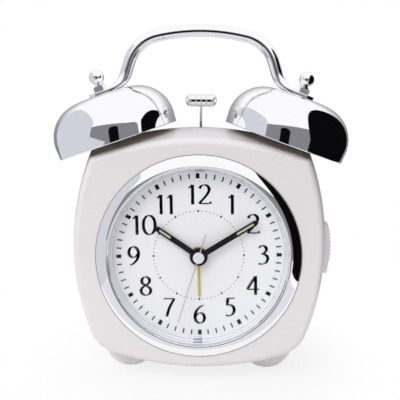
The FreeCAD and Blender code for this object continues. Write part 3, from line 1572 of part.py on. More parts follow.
def back_pieces():
    """Alarm switch, battery door, cells and contacts."""
    up = size.switch_up
    x = -size.switch_travel / 2
    inside = size.case_back - wall - size.clearance
    outside = size.case_back + size.clearance
    stem = size.switch_stem / 2
    pieces = [
        box("slider_plate", (x - stem - 2.0, up - 3.5, -inside),
            (x + stem + 2.0, up + 3.5, 1.2 - inside)),
        box("slider_stem", (x - stem, up - size.switch_width / 2, -outside),
            (x + stem, up + size.switch_width / 2, -inside)),
        box("slider_thumb", (x - stem - 1.0, up - 3.0, -outside - 1.6),
            (x + stem + 1.0, up + 3.0, -outside)),
    ]
    node("alarm_switch", fused("alarm_switch_slider", pieces))

    door = new_body("battery_door")
    plate = sketch_in(door, "door_outline", "XY_Plane", -size.case_back)
    outline(plate, rectangle(0, size.cells_up, bay_half + size.door_ledge,
                             bay_rise + size.door_ledge))
    pad(door, plate, size.door_thickness, "door_plate")
    lip = sketch_in(door, "door_lip_outline", "XY_Plane",
                    size.door_thickness - size.case_back)
    outline(lip, rectangle(0, size.cells_up + bay_rise - 1.0, size.door_tab, 0.6))
    pad(door, lip, size.door_lip, "door_lip")
    place(door)
    node("battery_door", door)

    cells, contacts = [], []
    for i in (0, 1):
        rise = size.cells_up + (i - 0.5) * size.cell_pitch
        facing_side = 1 if i == 0 else -1
        turn = Rotation(Vector(0, 1, 0), 90 * facing_side)
        start = -facing_side * size.cell_length / 2
        can = doc.addObject("Part::Cylinder", f"cell_can_{i}")
        bind(can, "Radius", size.cell_radius)
        bind(can, "Height", size.cell_length)
        place(can, start, rise, -size.cell_centre_back, turn)
        nub = doc.addObject("Part::Cylinder", f"cell_nub_{i}")
        bind(nub, "Radius", size.nub_radius)
        bind(nub, "Height", size.nub_height)
        place(nub, -1 * start, rise, -size.cell_centre_back, turn)
        cells.append(fused(f"cell_{i}", [can, nub]))
        for side in (-1, 1):
            wall_x = side * bay_half
            plate_x = side * (bay_half - size.contact_gauge)
            low, high = (wall_x, plate_x) if side < 0 else (plate_x, wall_x)
            leaf = box(f"contact_leaf_{i}_{len(contacts)}",
                       (low, rise - 4.0, -size.cell_centre_back - 4.0),
                       (high, rise + 4.0, 4.0 - size.cell_centre_back))
            minus = side == -facing_side
            reach = size.contact_room - size.contact_gauge
            reach = reach if minus else reach - size.nub_height
            button = doc.addObject("Part::Cylinder", f"contact_button_{i}_{len(contacts)}")
            bind(button, "Radius", size.coil_contact_radius if minus else size.nub_radius)
            bind(button, "Height", reach)
            place(button, plate_x, rise, -size.cell_centre_back,
                  Rotation(Vector(0, 1, 0), -90 * side))
            contacts.append(fused(f"contact_{i}_{len(contacts)}", [leaf, button]))
    group("battery_cells", cells)
    group("battery_contacts", contacts)


def screw(name, x, up, head_back, grip, turn=DIAL_TURN, front=None):
    """A pan-head screw; its head sits behind head_back, its shank ahead."""
    head = doc.addObject("Part::Cylinder", f"{name}_head")
    bind(head, "Radius", size.screw_head_radius)
    bind(head, "Height", size.screw_head_height)
    shank = doc.addObject("Part::Cylinder", f"{name}_shank")
    bind(shank, "Radius", size.screw_radius)
    bind(shank, "Height", grip)
    if front is None:
        place(head, x, up, head_back - size.screw_head_height, turn)
        place(shank, x, up, head_back, turn)
    else:
        place(head, x, up - size.screw_head_height, front, turn)
        place(shank, x, up, front, turn)
    return fused(name, [head, shank])


def screws():
    seat = size.screw_sink - size.case_back
    long_screws = [screw(f"case_screw_{i}", x, up, seat, size.case_back - size.screw_sink
                         - size.case_split + size.screw_bite)
                   for i, (x, up) in enumerate(post_holes())]
    group("case_screws", long_screws)
    short = [screw(f"movement_screw_{i}", x, up, dial_back - size.housing_wall,
                   size.housing_wall + size.ear_bite)
             for i, (x, up) in enumerate(ear_holes())]
    under = [screw(f"bracket_screw_{i}", side * size.hanger_x, size.bracket_floor_up, 0.0,
                   size.plate_gauge + size.screw_bite - 1.0, UPRIGHT, 0.0)
             for i, side in enumerate((-1, 1))]
    group("inner_screws", short + under)


front_case()
rear_cover()
foot_pads()
face_pieces()
bells()
handle()
movement_housing()
going_train()
movement_electrics()
hands()
setting_knobs()
striker()
side_button()
back_pieces()
screws()
doc.recompute()

for thing in doc.Objects:
    if "Invalid" in thing.State or "Error" in thing.State:
        raise RuntimeError(f"{thing.Label} failed: {thing.getStatusString()}")

os.makedirs("parts", exist_ok=True)
for name, thing in nodes:
    shape = thing.Shape
    if shape.isNull() or not shape.isValid() or not shape.Solids:
        raise RuntimeError(f"{name} has no valid solid")
    shape.exportStep(f"parts/{name}.step")
print(len(nodes), "nodes")
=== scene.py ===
# %% [markdown]
# A twin-bell alarm clock, dressed for its portrait
#
# The clock has a pearl plastic case, a chrome bezel, two chrome bells under a
# chrome carrying handle, and a small ribbed hammer on a wire between them. The
# solids come ready made and carry the sizes. This script gives them finishes,
# draws the dial, turns the mirror-bright pieces again on fine grids, and sets
# up a white studio. Each step first says what the real thing is like.

# %% The frame and its size
import math

import bpy
import numpy as np
from mathutils import Euler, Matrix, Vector
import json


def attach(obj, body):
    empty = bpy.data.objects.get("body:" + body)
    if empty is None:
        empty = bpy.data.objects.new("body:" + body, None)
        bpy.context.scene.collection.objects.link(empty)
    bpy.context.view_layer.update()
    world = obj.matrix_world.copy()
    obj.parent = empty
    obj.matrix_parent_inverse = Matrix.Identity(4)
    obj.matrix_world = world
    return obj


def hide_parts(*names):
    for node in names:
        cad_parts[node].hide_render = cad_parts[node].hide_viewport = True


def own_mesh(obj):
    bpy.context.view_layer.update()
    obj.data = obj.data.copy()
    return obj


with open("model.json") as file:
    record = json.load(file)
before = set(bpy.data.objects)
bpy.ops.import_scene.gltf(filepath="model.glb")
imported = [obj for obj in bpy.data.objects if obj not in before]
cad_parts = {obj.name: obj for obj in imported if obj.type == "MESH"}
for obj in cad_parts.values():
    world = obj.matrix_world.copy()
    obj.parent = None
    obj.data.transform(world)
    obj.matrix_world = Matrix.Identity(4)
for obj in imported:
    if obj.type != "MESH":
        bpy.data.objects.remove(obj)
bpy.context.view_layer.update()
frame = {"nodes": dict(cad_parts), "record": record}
nodes = frame["nodes"]
MM = 0.001
DIAL_UP = 61.0

# %% [markdown]
# The camera stands 30 cm in front of the clock at the height of the bells, and
# looks down on the case by nine degrees. A 54 mm lens on a 36 mm square frame
# gives the same mild convergence as the photograph: the feet look a little
# smaller than the bells. It could be placed by eye. Here the place was found
# from the dial, whose minute marks lie on a true circle, so the numbers have
# more digits than a hand would give them.

# %% Camera
STAND = (0.00457, -0.29646, 0.13003)
TURNS = (81.147, -0.612, 0.988)
camera_data = bpy.data.cameras.new("portrait_lens")
camera_data.lens = 54.0
camera_data.sensor_width = 36.0
camera = bpy.data.objects.new("portrait_camera", camera_data)
camera.location = STAND
camera.rotation_euler = Euler([math.radians(a) for a in TURNS], "XYZ")
bpy.context.scene.collection.objects.link(camera)
bpy.context.scene.camera = camera
bpy.context.scene.view_settings.view_transform = "Standard"
print("camera:", round(-STAND[1], 3), "m in front, lens", camera_data.lens, "mm")

# %% [markdown]
# Chrome has no colour of its own: it shows the room. Product photographers
# stand it in a white tent and let a few grey and black cards in, because an
# all-white room would make it look like milk. The tent here is the world
# itself: pure white to the camera, to mirrors and through glass. Plain
# surfaces get a softer light from it, stronger from above than from below and
# weaker from the right, as if a grey curtain closed the tent there.


# %% Small helpers for shader trees
def linear(red, green, blue):
    """Colour on a 0 to 255 screen scale to linear light, by the sRGB curve."""
    c = np.array([red, green, blue], float) / 255
    c = np.where(c <= 0.04045, c / 12.92, ((c + 0.055) / 1.055) ** 2.4)
    return (*c.tolist(), 1.0)


def join(tree, source, output, target, socket):
    tree.links.new(source.outputs[output], target.inputs[socket])


def sum_node(tree, operation, first, second, clamp=False):
    """One arithmetic node. Each side is a number or a (node, output) pair."""
    node = tree.nodes.new("ShaderNodeMath")
    node.operation = operation
    node.use_clamp = clamp
    for i, value in enumerate((first, second)):
        if isinstance(value, tuple):
            join(tree, value[0], value[1], node, i)
        else:
            node.inputs[i].default_value = value
    return node


def ramp_node(tree, source, low, high, to_low=0.0, to_high=1.0):
    """Smooth step of a value from low to high, put out from to_low to to_high."""
    node = tree.nodes.new("ShaderNodeMapRange")
    node.interpolation_type = "SMOOTHSTEP"
    join(tree, source[0], source[1], node, "Value")
    for socket, value in (("From Min", low), ("From Max", high),
                          ("To Min", to_low), ("To Max", to_high)):
        node.inputs[socket].default_value = value
    return node


def blend_node(tree, factor, first, second):
    """Mix of two colours. Each is a colour or a (node, output) pair."""
    node = tree.nodes.new("ShaderNodeMix")
    node.data_type = "RGBA"
    if isinstance(factor, tuple):
        join(tree, factor[0], factor[1], node, 0)
    else:
        node.inputs[0].default_value = factor
    for i, value in ((6, first), (7, second)):
        if isinstance(value[0], bpy.types.Node):
            join(tree, value[0], value[1], node, i)
        else:
            node.inputs[i].default_value = value
    return node


def seen_plainly(tree):
    """One for rays from the camera, from mirrors and through glass, and zero
    for the light that falls on plain surfaces."""
    ray = tree.nodes.new("ShaderNodeLightPath")
    mirrored = sum_node(tree, "ADD", (ray, "Is Glossy Ray"), (ray, "Is Transmission Ray"))
    return sum_node(tree, "ADD", (mirrored, 0), (ray, "Is Camera Ray"), True)


# %% The tent
WHITE = (1.0, 1.0, 1.0, 1.0)
FROM_BELOW, FROM_ABOVE = linear(200, 197, 197), linear(252, 252, 253)
CURTAIN = linear(120, 114, 112)
world = bpy.data.worlds.new("white_tent")
world.use_nodes = True
bpy.context.scene.world = world
tent = world.node_tree
tent.nodes.clear()
out = tent.nodes.new("ShaderNodeOutputWorld")
glow = tent.nodes.new("ShaderNodeBackground")
where = tent.nodes.new("ShaderNodeTexCoord")
split = tent.nodes.new("ShaderNodeSeparateXYZ")
join(tent, where, "Generated", split, 0)
overhead = ramp_node(tent, (split, "Z"), low=-0.3, high=0.9)
even = blend_node(tent, (overhead, 0), FROM_BELOW, FROM_ABOVE)
at_right = ramp_node(tent, (split, "X"), low=0.1, high=0.9, to_high=0.75)
soft = blend_node(tent, (at_right, 0), (even, 2), CURTAIN)
seen = blend_node(tent, (seen_plainly(tent), 0), (soft, 2), WHITE)
join(tent, seen, 2, glow, "Color")
join(tent, glow, 0, out, 0)

# %% [markdown]
# The clock stands on white paper that runs up behind it. A bent sheet would do
# it, but one flat disc is enough here. Its material mixes plain paper, which
# takes a faint shadow close to the clock, with a white glow. The glow grows with
# the distance from the clock, so the paper ends up as white as the background
# and no horizon shows.


# %% Floor
def plate(name, corners):
    """A flat sheet inside a ring of corners."""
    mesh = bpy.data.meshes.new(name)
    mesh.from_pydata([tuple(c) for c in corners], [], [range(len(corners))])
    sheet = bpy.data.objects.new(name, mesh)
    bpy.context.scene.collection.objects.link(sheet)
    return sheet


FLOOR_RADIUS = 0.32
PAPER = (0.86, 0.86, 0.87, 1)
a = np.linspace(0, 2 * np.pi, 96, endpoint=False)
floor = plate("floor", np.stack([FLOOR_RADIUS * np.cos(a), FLOOR_RADIUS * np.sin(a), 0 * a], axis=1))
paper = bpy.data.materials.new("white_paper")
paper.use_nodes = True
tree = paper.node_tree
tree.nodes.clear()
out = tree.nodes.new("ShaderNodeOutputMaterial")
matt = tree.nodes.new("ShaderNodeBsdfDiffuse")
matt.inputs["Color"].default_value = PAPER
white = tree.nodes.new("ShaderNodeEmission")
white.inputs["Strength"].default_value = 1.0
both = tree.nodes.new("ShaderNodeMixShader")
where = tree.nodes.new("ShaderNodeTexCoord")
reach = tree.nodes.new("ShaderNodeVectorMath")
reach.operation = "LENGTH"
join(tree, where, "Object", reach, 0)
fade = ramp_node(tree, (reach, 1), low=0.05, high=0.10, to_low=0.80)
part = sum_node(tree, "MULTIPLY", (fade, 0), (seen_plainly(tree), 0))
join(tree, part, 0, both, 0)
join(tree, matt, 0, both, 1)
join(tree, white, 0, both, 2)
join(tree, both, 0, out, 0)
floor.data.materials.append(paper)
print("floor radius:", FLOOR_RADIUS, "m")

# %% [markdown]
# The cards stand round the clock, and only mirrors see them. A black one with
# an arched top stands close on the right, and a black one with a round top
# stands where the camera is. A pale wall is on the left, a darker one closes
# the front below the lamps, and a third is behind. Three more sheets lie just
# above the table. A picture of a real room could do the same, but each card
# here draws one tone on the bells and the bezel, so it can be moved until that
# tone has its place. The hard edges tell the eye that these pieces are metal.


# %% Cards
def card(name, tone, corners, fade=None):
    """A sheet with an even tone, seen by mirrors alone. With two heights in
    fade, the tone turns to white between them."""
    sheet = plate(name, corners)
    coat = bpy.data.materials.new(name + "_tone")
    coat.use_nodes = True
    tree = coat.node_tree
    tree.nodes.clear()
    light = tree.nodes.new("ShaderNodeEmission")
    light.inputs["Color"].default_value = tone
    if fade:
        place = tree.nodes.new("ShaderNodeTexCoord")
        height = tree.nodes.new("ShaderNodeSeparateXYZ")
        join(tree, place, "Object", height, 0)
        rise = ramp_node(tree, (height, "Z"), *fade)
        pale = blend_node(tree, (rise, 0), tone, WHITE)
        join(tree, pale, 2, light, "Color")
    end = tree.nodes.new("ShaderNodeOutputMaterial")
    join(tree, light, 0, end, 0)
    sheet.data.materials.append(coat)
    sheet.visible_camera = False
    sheet.visible_diffuse = False
    sheet.visible_shadow = False
    print("card", name, len(corners), "corners")


def arch(half_width, foot, spring, top):
    """Upright outline with a straight foot and half an ellipse on top. Across
    is the first number of each corner and up the second."""
    t = np.linspace(0, np.pi, 32)
    crown = np.stack([half_width * np.cos(t), spring + (top - spring) * np.sin(t)], axis=1)
    return np.concatenate([[[-half_width, foot], [half_width, foot]], crown])


def upright(outline, x=None, y=None, middle=0.0):
    """Stands an outline up: across runs along Y at a given x, or along X at a
    given y."""
    across, up = outline[:, 0] + middle, outline[:, 1]
    if x is None:
        return np.stack([across, 0 * up + y, up], axis=1)
    return np.stack([0 * up + x, across, up], axis=1)


def oblong(left, right, low, high):
    """Corners of a rectangle, anticlockwise from its lower left."""
    return np.array([[left, low], [right, low], [right, high], [left, high]])


def lying(outline, height):
    """Lays an outline down at a height: its second number runs along Y."""
    return np.column_stack([outline, np.full(len(outline), height)])


BLACK, SHADE = linear(9, 9, 11), linear(132, 132, 137)
LILAC, DUSK, MIST = linear(212, 213, 221), linear(140, 140, 147), linear(227, 226, 234)
card("side_card", BLACK,
     upright(arch(half_width=0.085, foot=0.016, spring=0.12, top=0.222), x=0.115, middle=-0.038))
card("camera_card", BLACK,
     upright(arch(half_width=0.042, foot=0.0, spring=0.145, top=0.172), y=-0.29, middle=-0.010))
card("front_wall", SHADE, upright(oblong(left=-0.38, right=0.45, low=0, high=0.25), y=-0.42))
card("front_floor", SHADE, lying(oblong(left=-0.30, right=0.45, low=-0.42, high=-0.22), 0.002))
card("table_shade", MIST, lying(oblong(left=-0.12, right=0.12, low=-0.219, high=-0.04), 0.002))
card("left_wall", LILAC,
     upright(arch(half_width=0.32, foot=0.0, spring=0.33, top=0.44), x=-0.35, middle=-0.10))
card("left_floor", LILAC, lying(oblong(left=-0.35, right=-0.12, low=-0.42, high=0.22), 0.003))
card("back_wall", DUSK, upright(oblong(left=-0.5, right=0.5, low=0, high=0.5), y=0.25),
     fade=(0.10, 0.42))

# %% [markdown]
# The plastic needs light with a direction, or the case would look cut out of
# card. A sun lamp would draw hard shadows. So a large soft lamp stands high on
# the left in front, and a weaker one on the right, so the right flank of the
# case falls a little darker. Mirrors don't see the lamps, because the cards
# already give them all their tones.


# %% Lamps
def soft_lamp(name, place, aim, width, watts):
    """A square area lamp at a place, turned to face a point."""
    data = bpy.data.lights.new(name, "AREA")
    data.shape = "SQUARE"
    data.size = width
    data.energy = watts
    lamp = bpy.data.objects.new(name, data)
    lamp.location = place
    lamp.rotation_euler = (Vector(aim) - Vector(place)).to_track_quat("-Z", "Y").to_euler()
    lamp.visible_glossy = False
    bpy.context.scene.collection.objects.link(lamp)
    print("lamp", name, watts, "W")


CASE_MIDDLE = (0, 0, 0.07)
soft_lamp("key", place=(-0.40, -0.80, 0.90), aim=CASE_MIDDLE, width=0.6, watts=4.6)
soft_lamp("fill", place=(0.5, -0.8, 0.25), aim=CASE_MIDDLE, width=0.5, watts=0.25)

# %% [markdown]
# Finishes. Nearly every surface here is one of two kinds: even, with a faint
# mottle, as moulded plastic and plating are, or drawn out, with a grain in one
# direction, as wire and turned metal are. Each could have its own noises in its
# own material. Instead each kind is a node group, built once and placed in each
# material with its own values, so all the pieces seem to come from one factory.


# %% Shared finishes
def group(name, sockets_in, sockets_out):
    """A shared node tree with named sockets, and its two ends."""
    tree = bpy.data.node_groups.new(name, "ShaderNodeTree")
    for label, kind in sockets_in:
        tree.interface.new_socket(label, in_out="INPUT", socket_type=kind)
    for label, kind in sockets_out:
        tree.interface.new_socket(label, in_out="OUTPUT", socket_type=kind)
    return tree, tree.nodes.new("NodeGroupInput"), tree.nodes.new("NodeGroupOutput")


FINISH_IN = [("Color", "NodeSocketColor"), ("Mottle", "NodeSocketFloat"),
             ("Scale", "NodeSocketFloat"), ("Roughness", "NodeSocketFloat"),
             ("Spread", "NodeSocketFloat"), ("Depth", "NodeSocketFloat")]
GRAIN = {"detail": 4.0, "finer": 9.0, "darkest": 0.8, "height": 0.1 * MM}
FINISH_OUT = [("Color", "NodeSocketColor"), ("Roughness", "NodeSocketFloat"),
              ("Normal", "NodeSocketVector")]


def finish_group(name, stretch):
    """Two noises on the piece's own coordinates. The coarse one mottles the
    colour and the gloss, and the fine one raises the grain. stretch multiplies
    each coordinate, so a number under one lengthens the grain along its axis."""
    tree, inn, out = group(name, FINISH_IN, FINISH_OUT)
    where = tree.nodes.new("ShaderNodeTexCoord")
    lay = tree.nodes.new("ShaderNodeMapping")
    lay.inputs["Scale"].default_value = stretch
    join(tree, where, "Object", lay, "Vector")
    coarse = tree.nodes.new("ShaderNodeTexNoise")
    fine = tree.nodes.new("ShaderNodeTexNoise")
    fine.inputs["Detail"].default_value = GRAIN["detail"]
    join(tree, lay, 0, coarse, "Vector")
    join(tree, lay, 0, fine, "Vector")
    join(tree, inn, "Scale", coarse, "Scale")
    finer = sum_node(tree, "MULTIPLY", (inn, "Scale"), GRAIN["finer"])
    join(tree, finer, 0, fine, "Scale")
    darker = tree.nodes.new("ShaderNodeHueSaturation")
    darker.inputs["Value"].default_value = GRAIN["darkest"]
    join(tree, inn, "Color", darker, "Color")
    share = sum_node(tree, "MULTIPLY", (coarse, 0), (inn, "Mottle"), True)
    tone = blend_node(tree, (share, 0), (inn, "Color"), (darker, 0))
    join(tree, tone, 2, out, "Color")
    centred = sum_node(tree, "SUBTRACT", (coarse, 0), 0.5)
    swing = sum_node(tree, "MULTIPLY", (centred, 0), (inn, "Spread"))
    gloss = sum_node(tree, "ADD", (swing, 0), (inn, "Roughness"), True)
    join(tree, gloss, 0, out, "Roughness")
    grain = tree.nodes.new("ShaderNodeBump")
    grain.inputs["Distance"].default_value = GRAIN["height"]
    join(tree, fine, 0, grain, "Height")
    join(tree, inn, "Depth", grain, "Strength")
    join(tree, grain, 0, out, "Normal")
    return tree


MOULDED = finish_group("moulded_surface", (1, 1, 1))
DRAWN = finish_group("drawn_surface", (0.08, 1, 1))


def finish(name, kind, color, mottle, scale, roughness, spread, depth, metallic=0.0, coat=0.0,
           coat_roughness=0.05, specular=0.5):
    """A material on one of the shared finishes. mottle is the share of the
    darker tone, scale the noise's waves per metre, spread how far the roughness
    swings and depth the strength of the grain."""
    made = bpy.data.materials.new(name)
    made.use_nodes = True
    tree = made.node_tree
    shader = tree.nodes["Principled BSDF"]
    look = tree.nodes.new("ShaderNodeGroup")
    look.node_tree = kind
    for label, value in (("Color", color), ("Mottle", mottle), ("Scale", scale),
                         ("Roughness", roughness), ("Spread", spread), ("Depth", depth)):
        look.inputs[label].default_value = value
    join(tree, look, "Color", shader, "Base Color")
    join(tree, look, "Roughness", shader, "Roughness")
    join(tree, look, "Normal", shader, "Normal")
    shader.inputs["Metallic"].default_value = metallic
    shader.inputs["Coat Weight"].default_value = coat
    shader.inputs["Coat Roughness"].default_value = coat_roughness
    shader.inputs["Specular IOR Level"].default_value = specular
    made.diffuse_color = color
    return made


# %% The materials themselves
FINISHES = {
    "pearl_case": finish("pearl_plastic", MOULDED, linear(233, 230, 231), mottle=0.10, scale=900,
                         roughness=0.34, spread=0.05, depth=0.10, coat=0.35, coat_roughness=0.12),
    "chrome_trim": finish("bright_chrome", MOULDED, linear(250, 250, 252), mottle=0.04, scale=260,
                          roughness=0.045, spread=0.03, depth=0.01, metallic=1.0),
    "rubber_pad": finish("grey_rubber", MOULDED, linear(60, 60, 62), mottle=0.4, scale=1400,
                         roughness=0.8, spread=0.1, depth=0.6),
    "grey_flange": finish("flange_plastic", MOULDED, linear(240, 241, 248), mottle=0.05, scale=700,
                          roughness=0.22, spread=0.05, depth=0.03, coat=0.2),
    "dial_print": finish("silvered_dial", MOULDED, linear(246, 247, 250), mottle=0.14, scale=2600,
                         roughness=0.5, spread=0.1, depth=0.3),
    "black_plastic": finish("black_moulding", MOULDED, linear(34, 34, 37), mottle=0.3, scale=900,
                            roughness=0.45, spread=0.15, depth=0.35),
    "white_plastic": finish("natural_moulding", MOULDED, linear(226, 226, 222), mottle=0.1,
                            scale=700, roughness=0.4, spread=0.1, depth=0.2),
    "clear_plastic": finish("lilac_button", MOULDED, linear(236, 234, 242), mottle=0.08, scale=500,
                            roughness=0.25, spread=0.08, depth=0.1, coat=0.4),
    "steel": finish("plated_steel", DRAWN, linear(176, 176, 180), mottle=0.3, scale=900,
                    roughness=0.25, spread=0.15, depth=0.25, metallic=1.0),
    "brass": finish("turned_brass", DRAWN, linear(196, 160, 92), mottle=0.3, scale=900,
                    roughness=0.3, spread=0.15, depth=0.2, metallic=1.0),
    "copper": finish("lacquered_wire", DRAWN, linear(170, 92, 52), mottle=0.4, scale=2600,
                     roughness=0.35, spread=0.1, depth=0.8, metallic=0.6),
    "board_green": finish("circuit_board", MOULDED, linear(36, 88, 52), mottle=0.4, scale=500,
                          roughness=0.4, spread=0.15, depth=0.2),
    "magnet": finish("ferrite", MOULDED, linear(74, 74, 78), mottle=0.3, scale=900, roughness=0.5,
                     spread=0.2, depth=0.4, metallic=0.4),
    "hand_black": finish("hand_enamel", MOULDED, linear(24, 22, 27), mottle=0.2, scale=600,
                         roughness=0.35, spread=0.08, depth=0.08, specular=0.25),
    "lume_green": finish("glow_paint", MOULDED, linear(196, 216, 172), mottle=0.3, scale=2200,
                         roughness=0.7, spread=0.1, depth=0.8),
    "hand_silver": finish("hand_silver", DRAWN, linear(214, 214, 218), mottle=0.1, scale=700,
                          roughness=0.3, spread=0.1, depth=0.1, metallic=0.6),
    # The bells' inner skin is bare steel, darkened and tinted warm brown as painted shade: the cups
    # look shaded inside, and the case under them takes a warm brown shade.
    "bell_inside": finish("bell_inside_steel_and_shade", DRAWN, linear(168, 146, 122), mottle=0.3, scale=700,
                          roughness=0.5, spread=0.15, depth=0.2, metallic=0.3),
    "ink": finish("dial_ink", MOULDED, linear(7, 7, 9), mottle=0.2, scale=900, roughness=0.7,
                  spread=0.1, depth=0.1, specular=0.05),
    "gap_shade": finish("gap_shade", MOULDED, linear(150, 134, 116), mottle=0.1, scale=600,
                        roughness=0.7, spread=0.1, depth=0.1),
    "satin_cap": finish("satin_cap", DRAWN, linear(236, 236, 240), mottle=0.1, scale=700,
                        roughness=0.35, spread=0.1, depth=0.1, metallic=0.15),
    "ring_grey": finish("ring_edge", DRAWN, linear(176, 178, 192), mottle=0.1, scale=600,
                        roughness=0.25, spread=0.1, depth=0.1, metallic=0.5),
    "hand_yellow": finish("hand_yellow", MOULDED, linear(204, 186, 52), mottle=0.1, scale=600,
                          roughness=0.4, spread=0.1, depth=0.1),
    "lamp_orange": finish("lamp_lens", MOULDED, linear(236, 214, 168), mottle=0.1, scale=600,
                          roughness=0.2, spread=0.05, depth=0.0),
    "cell_skin": finish("cell_sleeve", DRAWN, linear(44, 50, 66), mottle=0.2, scale=300,
                        roughness=0.3, spread=0.1, depth=0.1),
}

# A low alpha leaves a trace of the glass, so that it doesn't veil the dial.
glass = bpy.data.materials.new("clear_lens")
glass.use_nodes = True
shader = glass.node_tree.nodes["Principled BSDF"]
for label, value in (("Base Color", (1, 1, 1, 1)), ("Roughness", 0.0), ("IOR", 1.45),
                     ("Transmission Weight", 1.0), ("Alpha", 0.05)):
    shader.inputs[label].default_value = value
FINISHES["clear_lens"] = glass

slot_of = {part["node"]: part["material_slot"] for part in frame["record"]["subparts"]}
for name, solid in nodes.items():
    solid.data.materials.clear()
    solid.data.materials.append(FINISHES[slot_of[name]])
# The rod is chromed and the cap satin, brighter than the rest of their slots.
nodes["hammer_rod"].data.materials[0] = FINISHES["chrome_trim"]
nodes["hand_cap"].data.materials[0] = FINISHES["satin_cap"]
print("finishes:", len(FINISHES))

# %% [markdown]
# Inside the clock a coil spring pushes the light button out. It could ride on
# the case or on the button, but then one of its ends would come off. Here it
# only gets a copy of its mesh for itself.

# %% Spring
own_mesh(nodes["button_spring"])

# %% [markdown]
# A bell is a steel cup, pressed or turned: one profile swung round an axis. The
# solids would do, but mirror metal shows every facet. So the bells, the bezel,
# the handle and the hammer are made again on grids fine enough for smooth
# reflections, to the sizes of their solids or, for the hammer, a touch smaller.
# The grid comes first, in a few helpers that all of them share.


# %% Grids
def mesh_piece(name, points, faces, body, slot, replaced=(), look=None, caps=()):
    """Puts arrays of points and faces into an object that rides on a body. Its
    look is the slot's own finish unless another is named. The caps stay flat,
    so they don't bend the light on the smooth sides."""
    mesh = bpy.data.meshes.new(name)
    sides = faces.reshape(-1, faces.shape[-1]).tolist()
    mesh.from_pydata(points.reshape(-1, 3).tolist(), [], sides + list(caps))
    mesh.polygons.foreach_set("use_smooth", [True] * len(sides) + [False] * len(caps))
    piece = bpy.data.objects.new(name, mesh)
    bpy.context.scene.collection.objects.link(piece)
    mesh.materials.append(FINISHES[look or slot])
    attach(piece, body)
    if replaced:
        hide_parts(*replaced)
    return piece


def grid_faces(rows, columns, wrap_rows=False, wrap_columns=False):
    """Index quads of a grid of points, closed on itself where asked."""
    i = np.arange(rows if wrap_rows else rows - 1)[:, None]
    j = np.arange(columns if wrap_columns else columns - 1)[None, :]
    a = i * columns + j
    b = i * columns + (j + 1) % columns
    c = (i + 1) % rows * columns + (j + 1) % columns
    d = (i + 1) % rows * columns + j
    return np.stack([a, b, c, d], axis=-1)


def end_caps(rows, columns):
    """The first and last ring of a tube's grid as two faces that close it. The
    first runs backwards, so that both face out."""
    ring = np.arange(columns)
    return [ring[::-1].tolist(), (ring + (rows - 1) * columns).tolist()]


def arc(centre, radius, start, end, count):
    """Points of a circle's arc, angles in degrees."""
    t = np.radians(np.linspace(start, end, count))
    return np.stack([centre[0] + radius * np.cos(t), centre[1] + radius * np.sin(t)], axis=1)


def lathe(profile, steps):
    """Radius r and height h of each profile point, swung round: the point at
    angle a is (r cos a, r sin a, h)."""
    a = np.linspace(0, 2 * np.pi, steps, endpoint=False)
    r, h = profile[:, :1], profile[:, 1:]
    return np.stack([r * np.cos(a), r * np.sin(a), h + 0 * a], axis=-1)


def from_dial(points):
    """Dial frame (right, up, towards the reader) to the row frame, in metres."""
    x, up, front = points[..., 0], points[..., 1], points[..., 2]
    return np.stack([x, -front, up + DIAL_UP], axis=-1) * MM


# %% Bells
BELL = {"radius": 30.2, "height": 23.0, "shoulder": 17.2, "wall": 0.9, "offset": 40.3,
        "up": 52.0, "tilt": 19.3, "rim": 0.45, "flare": 0.3, "hole": 1.55}
BELL_STEPS = 160


def bell_profile():
    """Rounded rim, outer skin up and over the shoulder to the flat top, hole for
    the post, and inner skin back down. The second value counts the points
    before the inner skin."""
    big, skin, top = BELL["shoulder"], BELL["wall"], BELL["height"]
    corner = (BELL["radius"] - big, top - big)
    lip = arc((BELL["radius"] - BELL["flare"] - BELL["rim"], BELL["rim"]), BELL["rim"], 180, 360, 9)
    outer = arc(corner, big, 0, 90, 48)
    hole = np.array([[BELL["hole"], top], [BELL["hole"], top - skin]])
    inner = arc(corner, big - skin, 90, 0, 40)
    return np.concatenate([lip, outer, hole, inner]), len(lip) + len(outer) + len(hole)


def on_bell(points, side):
    """Bell frame (axis up) to the row frame: lean outwards by the tilt, then
    move to the bell's place."""
    t = math.radians(BELL["tilt"]) * side
    x, y, z = points[..., 0], points[..., 1], points[..., 2]
    across = x * math.cos(t) + z * math.sin(t) + side * BELL["offset"]
    up = -x * math.sin(t) + z * math.cos(t) + BELL["up"] + DIAL_UP
    return np.stack([across, y, up], axis=-1) * MM


profile, inner_from = bell_profile()
turned = lathe(profile, BELL_STEPS)
faces = grid_faces(len(profile), BELL_STEPS, wrap_rows=True, wrap_columns=True)
for side, word in ((-1, "left"), (1, "right")):
    bell = mesh_piece(f"{word}_bell_skin", on_bell(turned, side), faces, "case", "chrome_trim",
                      [f"{word}_bell"])
    # The inner faces take the bell_inside finish: bare steel, darkened and tinted brown as painted
    # shade.
    bell.data.materials.append(FINISHES["bell_inside"])
    inner = np.repeat(np.arange(len(profile)) >= inner_from, BELL_STEPS).astype(np.int32)
    bell.data.polygons.foreach_set("material_index", inner)
print("bell grid:", turned.shape)

# %% [markdown]
# The bezel is a chromed ring with a swelling front. Its outer edge lies on the
# case, and its inner lip holds the lens. A torus would be too round. The profile
# is one wide arc for the swell and one small arc for the brow over the glass,
# because where these two meet decides how the black card's stripe ends.

# %% Bezel
BEZEL = {"radius": 47.5, "step": 45.0, "bore": 43.55, "crest": 42.4, "lip": 41.4, "swell": 12.0,
         "brow": 1.0, "edge": 0.12}
RING_STEPS = 256
FRONT = {"dial": 22.5, "case": 27.5, "glass": 29.5, "bezel": 30.1}


